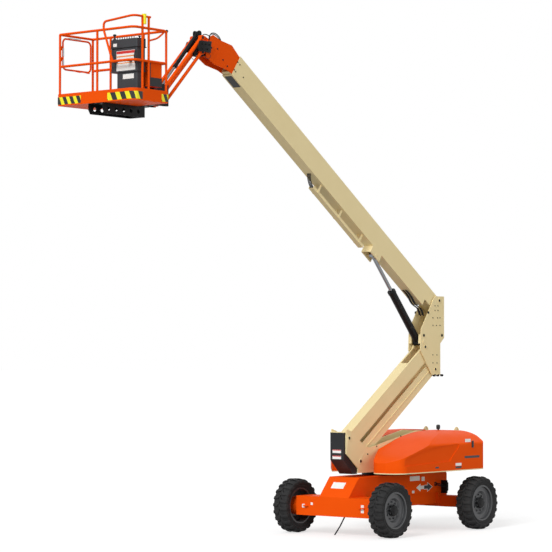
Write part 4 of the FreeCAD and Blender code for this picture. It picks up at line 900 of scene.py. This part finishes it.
def cutter(name, corners):
    return plate(name, [(x, y, CUT_LOW) for x, y in corners], (0, 0, CUT_TALL))


def merged_copy(name, node):
    piece = bpy.data.objects.new(name, NODES[node].data.copy())
    bpy.context.scene.collection.objects.link(piece)
    pick(piece)
    bpy.ops.object.mode_set(mode="EDIT")
    bpy.ops.mesh.select_all(action="SELECT")
    bpy.ops.mesh.remove_doubles(threshold=WELD_GAP)
    bpy.ops.object.mode_set(mode="OBJECT")
    return piece


def boolean(piece, tool, operation):
    bpy.context.view_layer.objects.active = piece
    cut = piece.modifiers.new("cut", "BOOLEAN")
    cut.operation = operation
    cut.solver = "EXACT"
    cut.object = tool
    bpy.ops.object.modifier_apply(modifier=cut.name)
    return piece


corner = cutter("corner_cutter", [CUT_INNER, (CUT_AHEAD_X, CUT_INNER[1]), (CUT_AHEAD_X, CUT_OUTER[1]),
                                  CUT_OUTER])
frame_copy = boolean(merged_copy("turntable_frame_trimmed", "turntable_frame"), corner, "DIFFERENCE")
finished(frame_copy, CREAM, "turntable", 6.0)
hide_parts("turntable_frame")
hood_copy = boolean(merged_copy("hood_right_shell", "hood_right"), corner, "DIFFERENCE")
wall = merged_copy("hood_right_wall", "hood_right")
bpy.ops.object.mode_set(mode="EDIT")
bpy.ops.mesh.select_all(action="SELECT")
bpy.ops.mesh.convex_hull()
bpy.ops.object.mode_set(mode="OBJECT")
slab = cutter("wall_slab", [CUT_INNER, CUT_OUTER, (CUT_OUTER[0] - WALL, CUT_OUTER[1]),
                            (CUT_INNER[0] - WALL, CUT_INNER[1])])
boolean(wall, slab, "INTERSECT")
hood_piece = finished(joined("hood_right_trimmed", [hood_copy, wall]), ORANGE, "hood_right", 20.0)
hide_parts("hood_right")
bpy.data.objects.remove(corner)
bpy.data.objects.remove(slab)
print("trimmed hood faces", len(hood_piece.data.polygons), "frame faces", len(frame_copy.data.polygons))

# %% [markdown]
# ## Places along the boom
# The boom is raised, so places on it are given as a distance back from its mouth and a distance below its
# underside. Both are turned by the boom's angle. The lower corner of the mouth is the point that reaches
# furthest forward, so it comes from the CAD node's box.

# %% Boom places
BOOM_ANGLE = math.radians(34.9)
BOOM_HEIGHT = 0.374
BOOM_WAY = Vector((math.cos(BOOM_ANGLE), 0, math.sin(BOOM_ANGLE)))
BOOM_DOWN = Vector((math.sin(BOOM_ANGLE), 0, -math.cos(BOOM_ANGLE)))
MOUTH_CORNER = Vector((high("boom_base").x, 0, high("boom_base").z - BOOM_HEIGHT * math.cos(BOOM_ANGLE)))


def on_boom(back, below, y=0.0):
    return MOUTH_CORNER - BOOM_WAY * back + BOOM_DOWN * below + Vector((0, y, 0))


print("lower corner of the mouth", [round(c, 3) for c in MOUTH_CORNER])

# %% [markdown]
# ## Hose trough under the boom
# The hoses to the platform run in a folded sheet trough that hangs under the boom on three straps, and rise
# into the boom from its upper end. The trough is its U section extruded along the boom. A strap is a small
# plate on each side, and the hoses are fixed at both ends.

# %% Trough, straps and hoses
TROUGH_START, TROUGH_END = 2.70, 4.34
TROUGH_BELOW = 0.165
HALF_WIDTH, LIP, SHEET = 0.050, 0.050, 0.004
STRAP_PITCH, STRAP_WIDTH, STRAP_SHEET = 0.68, 0.040, 0.005
INSIDE_BOOM = -0.004
HOSE_BELOW = 0.150
inner = HALF_WIDTH - SHEET
section = [(HALF_WIDTH, LIP), (HALF_WIDTH, 0.0), (-HALF_WIDTH, 0.0), (-HALF_WIDTH, LIP), (-inner, LIP),
           (-inner, SHEET), (inner, SHEET), (inner, LIP)]
trough = plate("hose_trough", [on_boom(TROUGH_END, TROUGH_BELOW - rise, y) for y, rise in section],
               BOOM_WAY * (TROUGH_END - TROUGH_START), 0.001)
finished(trough, CREAM, "upper_boom")
for number in range(3):
    back = TROUGH_START + 0.12 + number * STRAP_PITCH
    near, far = -HALF_WIDTH, -HALF_WIDTH - STRAP_SHEET
    corners = [on_boom(back, INSIDE_BOOM, near), on_boom(back, TROUGH_BELOW, near),
               on_boom(back, TROUGH_BELOW, far), on_boom(back, INSIDE_BOOM, far)]
    both = [plate("strap", [Vector((c.x, way * c.y, c.z)) for c in corners], BOOM_WAY * -STRAP_WIDTH)
            for way in (1, -1)]
    finished(joined(f"trough_strap_{number}", both), CREAM, "upper_boom")
TROUGH_ROUTE = ((3.30, HOSE_BELOW), (3.00, HOSE_BELOW), (2.80, HOSE_BELOW), (2.60, 0.110),
                (2.52, INSIDE_BOOM))
for number, y in enumerate((-0.027, 0.0, 0.027)):
    route = [on_boom(back, below, y) for back, below in TROUGH_ROUTE]
    hose(f"trough_hose_{number}", route, 0.018, "upper_boom")
print("trough from", TROUGH_START, "to", TROUGH_END, "m behind the mouth")

# %% [markdown]
# ## Boom mouth
# Wear pads inside the mouth are held by bolts through the side plates, and a dark non-slip panel is bonded
# under it. The pads' bolts are hexagon heads on both sides.

# %% Mouth bolts and panel
BOOM_FACE = 0.100
MOUTH_BOLTS = ((1.312, 7.646), (1.262, 7.611), (1.396, 7.516), (1.364, 7.490), (1.178, 7.417))
for word, side in SIDE_NAMES:
    heads("mouth_bolts_" + word, MOUTH_BOLTS, side * BOOM_FACE, side, 0.011, 0.009, BLACK, "upper_boom")
film("mouth_panel", on_boom(0.165, 0.0), (0, 1, 0), BOOM_WAY, (0.150, 0.270), COVER_PLASTIC, "upper_boom",
     0.010, 0.003)
print("mouth bolts", len(MOUTH_BOLTS) * 2)

# %% [markdown]
# ## Lift cylinder fittings
# A hard line runs along the boom's lift cylinder to its far port, held by two clamps, and the gland at the
# rod's end is a screwed ring. The line is a tube with a hook at each end; the gland is a turned ring.

# %% Hard line and gland
barrel_low, barrel_high = low("boom_lift_barrel"), high("boom_lift_barrel")
BARREL_RADIUS, EYE_RADIUS = 0.066, 0.071
SLOPE_SINE, SLOPE_COSINE = 0.746, 0.666
foot = Vector((barrel_low.x + EYE_RADIUS, 0, barrel_low.z + EYE_RADIUS))
gland = Vector((barrel_high.x - BARREL_RADIUS * SLOPE_SINE, 0, barrel_high.z - BARREL_RADIUS * SLOPE_COSINE))
barrel_way = (gland - foot).normalized()
barrel_front = Vector((barrel_way.z, 0, -barrel_way.x))


def on_barrel(along, out, y=0.0):
    return foot + barrel_way * along + barrel_front * out + Vector((0, y, 0))


barrel_length = (gland - foot).length
PORT, LINE = (0.036, 0.045), (0.050, 0.062)
line = [on_barrel(0.16, *PORT), on_barrel(0.16, *LINE), on_barrel(0.24, *LINE),
        on_barrel(barrel_length - 0.20, *LINE), on_barrel(barrel_length - 0.10, *LINE),
        on_barrel(barrel_length - 0.10, *PORT)]
tube("lift_cylinder_line", line, 0.018, BLACK, "boom_lift_barrel")
CLAMP = ((0.020, 0.050), (0.062, 0.050), (0.062, 0.078), (0.020, 0.078))
for number, along in enumerate((0.35, 0.80)):
    clamp = plate(f"line_clamp_{number}", [on_barrel(along, out, y) for out, y in CLAMP], barrel_way * 0.045,
                  0.006, 2)
    finished(clamp, BLACK, "boom_lift_barrel")
ring_section = [gland + barrel_way * along + barrel_front * out for along, out in
                ((-0.060, 0.064), (-0.060, 0.071), (-0.008, 0.071), (-0.001, 0.066), (-0.001, 0.045))]
ring = turned("lift_cylinder_gland", ring_section, gland, barrel_way, 40)
finished(ring, BLACK, "boom_lift_barrel")
print("lift cylinder barrel", round(barrel_length, 3), "m from eye to gland")

# %% [markdown]
# ## Boom nose and jib bracket
# Large bolts hold the nose's side plates, hoses arch over it to the jib, and on each side of the jib bracket
# sits a dark valve block with a short hose loop under it. The block is an outline with soft edges that keeps
# clear of the jib's tubes. The arching hoses start and end in the nose. The loops start in the block and end
# in the bracket.

# %% Nose bolts, arching hoses and valve blocks
NOSE_FACE = high("boom_nose").y
NOSE_BOLTS = ((1.938, 7.813), (1.796, 7.811), (1.664, 7.650), (1.560, 7.560))
BLOCK_OUTLINE = ((2.258, 7.894), (2.312, 7.790), (2.277, 7.725), (2.003, 7.725), (1.985, 7.905))
BLOCK_DEEP = 0.022
BLOCK_PORTS = ((2.205, 7.850), (2.120, 7.850), (2.035, 7.850), (2.205, 7.770), (2.080, 7.770))
BLOCK_LOOP = ((2.190, 0.011, 7.740), (2.180, 0.012, 7.690), (2.120, 0.014, 7.628), (2.030, 0.014, 7.630),
              (1.995, 0.012, 7.690), (2.060, -0.004, 7.752))
NOSE_HOSES = ((0.086, 0.000, 1.960), (0.062, -0.014, 1.950), (-0.086, -0.006, 1.955))
for word, side in SIDE_NAMES:
    heads("nose_bolts_" + word, NOSE_BOLTS, side * (NOSE_FACE - 0.002), side, 0.015, 0.009, BLACK, "fly_boom")
    face = side * (high("jib_bracket").y + 0.001)
    block = plate("valve_block_" + word, [(x, face, z) for x, z in BLOCK_OUTLINE], (0, side * BLOCK_DEEP, 0),
                  0.006, 2)
    finished(block, BLACK, "jib_bracket")
    heads("block_ports_" + word, BLOCK_PORTS, face + side * BLOCK_DEEP, side, 0.014, 0.012, BLACK,
          "jib_bracket")
    loop = [(x, face + side * out, z) for x, out, z in BLOCK_LOOP]
    hose("block_hose_" + word, loop, 0.008, "jib_bracket")
for number, (y, rise, start) in enumerate(NOSE_HOSES):
    arch = [(start, y, 7.880), (start + 0.020, y, 7.975 + rise), (start - 0.020, y, 8.050 + rise),
            (start - 0.130, y, 8.054 + rise), (start - 0.220, y, 8.005 + rise), (start - 0.270, y, 7.925),
            (start - 0.300, y, 7.820)]
    hose(f"nose_hose_{number}", arch, 0.015, "fly_boom")

# %% [markdown]
# ## Hazard stripes
# Black and yellow slanted stripes on the platform's edge show people below where it ends. There are three
# bands of film, and one of them follows the edge round the corner. A band is drawn as a narrow outline seen
# from above and extruded to its height. The stripes are a step over a slanted distance, so they need no
# image: the distance grows along the edge and with the height.

# %% Hazard film
HAZARD_AGE_MM = 90.0
SLANT = 0.45


def hazard_vinyl(name, period, yellow_share):
    material, tree = new_material(name)
    place = object_place(tree)
    parts = add(tree, "ShaderNodeSeparateXYZ", {"Vector": place})
    along = add(tree, "ShaderNodeMath", {0: parts.outputs["Y"], 1: parts.outputs["X"]}, operation="SUBTRACT")
    slant = add(tree, "ShaderNodeMath", {0: parts.outputs["Z"], 1: SLANT, 2: along.outputs[0]},
                operation="MULTIPLY_ADD")
    count = add(tree, "ShaderNodeMath", {0: slant.outputs[0], 1: 1.0 / period}, operation="MULTIPLY")
    part = add(tree, "ShaderNodeMath", {0: count.outputs[0]}, operation="FRACT")
    dark = add(tree, "ShaderNodeMath", {0: part.outputs[0], 1: yellow_share}, operation="GREATER_THAN")
    age = noise(tree, place, HAZARD_AGE_MM, 3.0)
    yellow = two_tone(tree, age.outputs["Fac"], "#F6EE12", "#E9DF10")
    colour = add(tree, "ShaderNodeMix", {0: dark.outputs[0], 6: yellow, 7: linear("#141414")},
                 data_type="RGBA")
    wave = relief(tree, age.outputs["Fac"], 0.08, 0.002)
    vinyl_coat = add(tree, "ShaderNodeBsdfPrincipled", {
        "Base Color": colour.outputs[2], "Roughness": 0.35, "Normal": wave, "IOR": 1.48})
    close_material(tree, vinyl_coat)
    return material


WIDE_HAZARD = hazard_vinyl("wide_hazard_vinyl", 0.190, 0.48)
NARROW_HAZARD = hazard_vinyl("narrow_hazard_vinyl", 0.140, 0.48)
DECK_FRONT = high("platform_floor").x
DECK_SIDE = high("platform_floor").y
DECK_REAR = low("platform_floor").x
DECK_BOTTOM = low("platform_floor").z
STRIPE_LOW, STRIPE_HIGH = DECK_BOTTOM + 0.017, DECK_BOTTOM + 0.130
EDGE_CURVE = 0.110


def edge_place(distance, out):
    """A point of the platform's edge: along the front in y, round the left corner, then back along x."""
    turn_start = DECK_SIDE - EDGE_CURVE
    arc = EDGE_CURVE * math.pi / 2
    if distance <= turn_start:
        return DECK_FRONT + out, distance, STRIPE_LOW
    if distance >= turn_start + arc:
        return DECK_FRONT - EDGE_CURVE - (distance - turn_start - arc), DECK_SIDE + out, STRIPE_LOW
    angle = (distance - turn_start) / EDGE_CURVE
    reach = EDGE_CURVE + out
    return DECK_FRONT - EDGE_CURVE + reach * math.cos(angle), turn_start + reach * math.sin(angle), STRIPE_LOW


def hazard_band(name, distances, material):
    outer = [edge_place(d, 0.0004) for d in distances]
    inner = [edge_place(d, -0.0005) for d in reversed(distances)]
    band = plate(name, outer + inner, (0, 0, STRIPE_HIGH - STRIPE_LOW))
    return finished(band, material, "platform")


curve_steps = [DECK_SIDE - EDGE_CURVE + EDGE_CURVE * math.radians(90.0) * k / 12 for k in range(13)]
side_end = curve_steps[-1] + (DECK_FRONT - EDGE_CURVE) - DECK_REAR
hazard_band("hazard_front_right", [-0.776, -0.295], NARROW_HAZARD)
hazard_band("hazard_front_left", [0.250] + curve_steps + [0.930], WIDE_HAZARD)
hazard_band("hazard_side_left", [side_end - 0.150, side_end - 0.004], NARROW_HAZARD)
print("hazard bands from", round(STRIPE_LOW, 3), "to", round(STRIPE_HIGH, 3))

# %% [markdown]
# ## Deck and rails
# A non-slip sheet covers the floor inside the kick plate. The rails carry small fittings: a yellow pad round
# a tall post, a slanted brace at the rear, plastic plugs in the tube ends, and on the gate zinc-plated grips
# and the two loops of its latch.

# %% Deck sheet, brace and gate fittings
DECK_THICKNESS = 0.0442
deck_top = DECK_BOTTOM + DECK_THICKNESS
deck_middle = ((DECK_FRONT + DECK_REAR) / 2, 0.0, deck_top)
film("deck_sheet", deck_middle, (1, 0, 0), (0, 1, 0), (DECK_FRONT - DECK_REAR - 0.06, 2 * DECK_SIDE - 0.06),
     DECK_STEEL, "platform", 0.04, 0.0015)
RAIL_Y = DECK_SIDE - 0.025
brace = [(4.080, RAIL_Y, 7.655), (3.985, RAIL_Y, 7.680), (3.900, RAIL_Y, 7.712), (3.815, RAIL_Y, 7.770),
         (3.735, RAIL_Y, 7.835)]
tube("corner_brace", brace, 0.028, ORANGE, "platform")
POST_X = 4.204
tube("post_pad", [(POST_X, RAIL_Y, z) for z in (7.885, 7.93, 8.00, 8.035)], 0.070, YELLOW_VINYL, "platform")
gate_face = (low("platform_gate").y + high("platform_gate").y) / 2
gate_left, gate_right = low("platform_gate").x + 0.014, high("platform_gate").x - 0.045
for word, heights in (("upper", (7.635, 7.60, 7.51)), ("lower", (7.46, 7.42, 7.36))):
    tube("gate_grip_" + word, [(gate_right, gate_face, z) for z in heights], 0.034, ZINC, "gate")
tube("gate_grip_top", [(gate_left + 0.22, gate_face, 7.789), (gate_left + 0.30, gate_face, 7.789),
                       (gate_right - 0.12, gate_face, 7.789)], 0.0295, ZINC, "gate")
LATCH_Z = 7.311
for number, x in enumerate((3.905, 4.100)):
    ring = [(x - 0.06, -RAIL_Y, LATCH_Z), (x - 0.07, -RAIL_Y + 0.05, LATCH_Z - 0.01),
            (x, -RAIL_Y + 0.10, LATCH_Z - 0.03), (x + 0.07, -RAIL_Y + 0.05, LATCH_Z - 0.01),
            (x + 0.06, -RAIL_Y, LATCH_Z)]
    tube(f"latch_loop_{number}", ring, 0.010, ORANGE, "gate")
PLUG = ((0.006, 0.0), (0.006, 0.023), (0.022, 0.021), (0.028, 0.012), (0.028, 0.0))
end_x, TOP_RAIL_Z = DECK_REAR + 0.025, 7.831
for word, side in SIDE_NAMES:
    section = [(end_x - reach, side * RAIL_Y, TOP_RAIL_Z + out) for reach, out in PLUG]
    cap = turned("rail_plug_" + word, section, (end_x, side * RAIL_Y, TOP_RAIL_Z), (1, 0, 0), 20)
    finished(cap, KNOB_PLASTIC, "platform")
print("deck sheet at z =", round(deck_top, 3))

# %% [markdown]
# ## Control box
# The box carries the main controls. On its face are a large instruction label with a red heading, left
# blank, a small label above it and one on the base. A row of toggle switches stands on the top, between the
# drive stick and a speed dial. A toggle is a turned profile: a nut, a stem and a rounded tip. A lip runs
# round under the head and a band round the waist, and a handle stands on the face.

# %% Control box labels, switches and stick
box_low, box_high = low("platform_console"), high("platform_console")
BRACKET_REACH = 0.100
HEAD_STEP = 0.008
face_x = box_high.x - BRACKET_REACH + 0.0003
head_x = face_x + HEAD_STEP


def console_label(name, y0, y1, z0, z1, material, x=face_x, lift=0.0012):
    return front_film(name, x, (y0 + y1) / 2, (z0 + z1) / 2, (y1 - y0, z1 - z0), material, "platform", 0.004,
                      lift)


console_label("instruction_label", 0.299, 0.675, 7.205, 7.507, WHITE_VINYL)
console_label("instruction_heading", 0.302, 0.672, 7.462, 7.502, RED_VINYL, lift=0.0020)
console_label("instruction_bar_upper", 0.302, 0.672, 7.414, 7.432, AMBER_VINYL, lift=0.0020)
console_label("instruction_bar_lower", 0.302, 0.672, 7.318, 7.330, AMBER_VINYL, lift=0.0020)
console_label("head_label", 0.240, 0.312, 7.576, 7.622, WHITE_VINYL, head_x)
console_label("base_label", 0.410, 0.631, 7.090, 7.160, WHITE_VINYL, face_x - 0.020)


def stalk(name, x, y, z, size, tall):
    section = ((0.0, -0.004), (size, -0.004), (size, 0.2 * tall), (0.42 * size, 0.24 * tall),
               (0.36 * size, 0.62 * tall), (0.8 * size, 0.72 * tall), (0.8 * size, 0.92 * tall),
               (0.45 * size, tall), (0.0, tall))
    points = [(x + out, y, z + rise) for out, rise in section]
    return turned(name, points, (x, y, z), (0, 0, 1), 16)


def band(name, front, margin, z, tall, edge, material):
    """A plate round the box at a height, wider than the box by the margin."""
    left, right = box_high.y + margin, box_low.y - margin
    rear = box_low.x - max(margin, 0.0)
    outline = [(rear, right, z), (front, right, z), (front, left, z), (rear, left, z)]
    return finished(plate(name, outline, (0, 0, tall), edge, 2), material, "platform")


top = box_high.z
SWITCH_PITCH = 0.0475
switches = [stalk("switch", head_x - 0.025, box_low.y + 0.075 + SWITCH_PITCH * k, top, 0.011,
                  0.026 + 0.004 * (k % 2)) for k in range(9)]
finished(joined("toggle_switches", switches), KNOB_PLASTIC, "platform")
stick = stalk("drive_stick", head_x - 0.060, box_low.y + 0.030, top, 0.032, 0.095)
finished(stick, KNOB_PLASTIC, "platform")
dial = stalk("speed_dial", head_x - 0.110, box_high.y - 0.045, top, 0.030, 0.040)
finished(dial, KNOB_PLASTIC, "platform")
band("console_lip", head_x + 0.008, 0.006, 7.545, 0.012, 0.004, KNOB_PLASTIC)
band("console_waist", face_x + 0.008, -0.004, 7.190, 0.022, 0.006, BOX_PLASTIC)
handle = [(head_x + 0.010, box_high.y - 0.010, 7.30), (head_x + 0.045, box_high.y - 0.004, 7.33),
              (head_x + 0.045, box_high.y - 0.004, 7.46), (head_x + 0.008, box_high.y - 0.010, 7.50)]
tube("console_handle", handle, 0.020, KNOB_PLASTIC, "platform")
print("control box", [round(c, 3) for c in box_high - box_low])

# %% [markdown]
# ## Document box and foot switch
# The manual sits in an orange box, and two thick black films make its lower part and its edge. A foot switch
# with a sloping tread stands on the deck: the machine moves only while it is pressed down. It is an outline
# with soft edges.

# %% Document box and foot switch
file_low, file_high = low("document_box"), high("document_box")
LOWER_PART, MARGIN, EDGE_WIDTH = 0.36, 0.004, 0.034
split = file_low.z + LOWER_PART * (file_high.z - file_low.z)


def file_film(name, x, z, size, corner):
    return film(name, (x, file_high.y, z), (-1, 0, 0), (0, 0, 1), size, COVER_PLASTIC, "platform", corner,
                0.004)


file_film("document_box_lower", (file_low.x + file_high.x) / 2, (file_low.z + split) / 2,
          (file_high.x - file_low.x - MARGIN, split - file_low.z - MARGIN), 0.010)
file_film("document_box_edge", file_high.x - EDGE_WIDTH / 2, (split + file_high.z) / 2,
          (EDGE_WIDTH, file_high.z - split), 0.006)
PEDAL = ((4.30, 0.002), (4.42, 0.002), (4.42, 0.075), (4.38, 0.125), (4.30, 0.090))
PEDAL_Y, PEDAL_WIDTH = -0.02, 0.14
outline = [(x, PEDAL_Y, deck_top + rise) for x, rise in PEDAL]
pedal = plate("foot_switch", outline, (0, PEDAL_WIDTH, 0), 0.008, 2)
finished(pedal, ORANGE, "platform")
print("document box", [round(c, 3) for c in file_high - file_low])
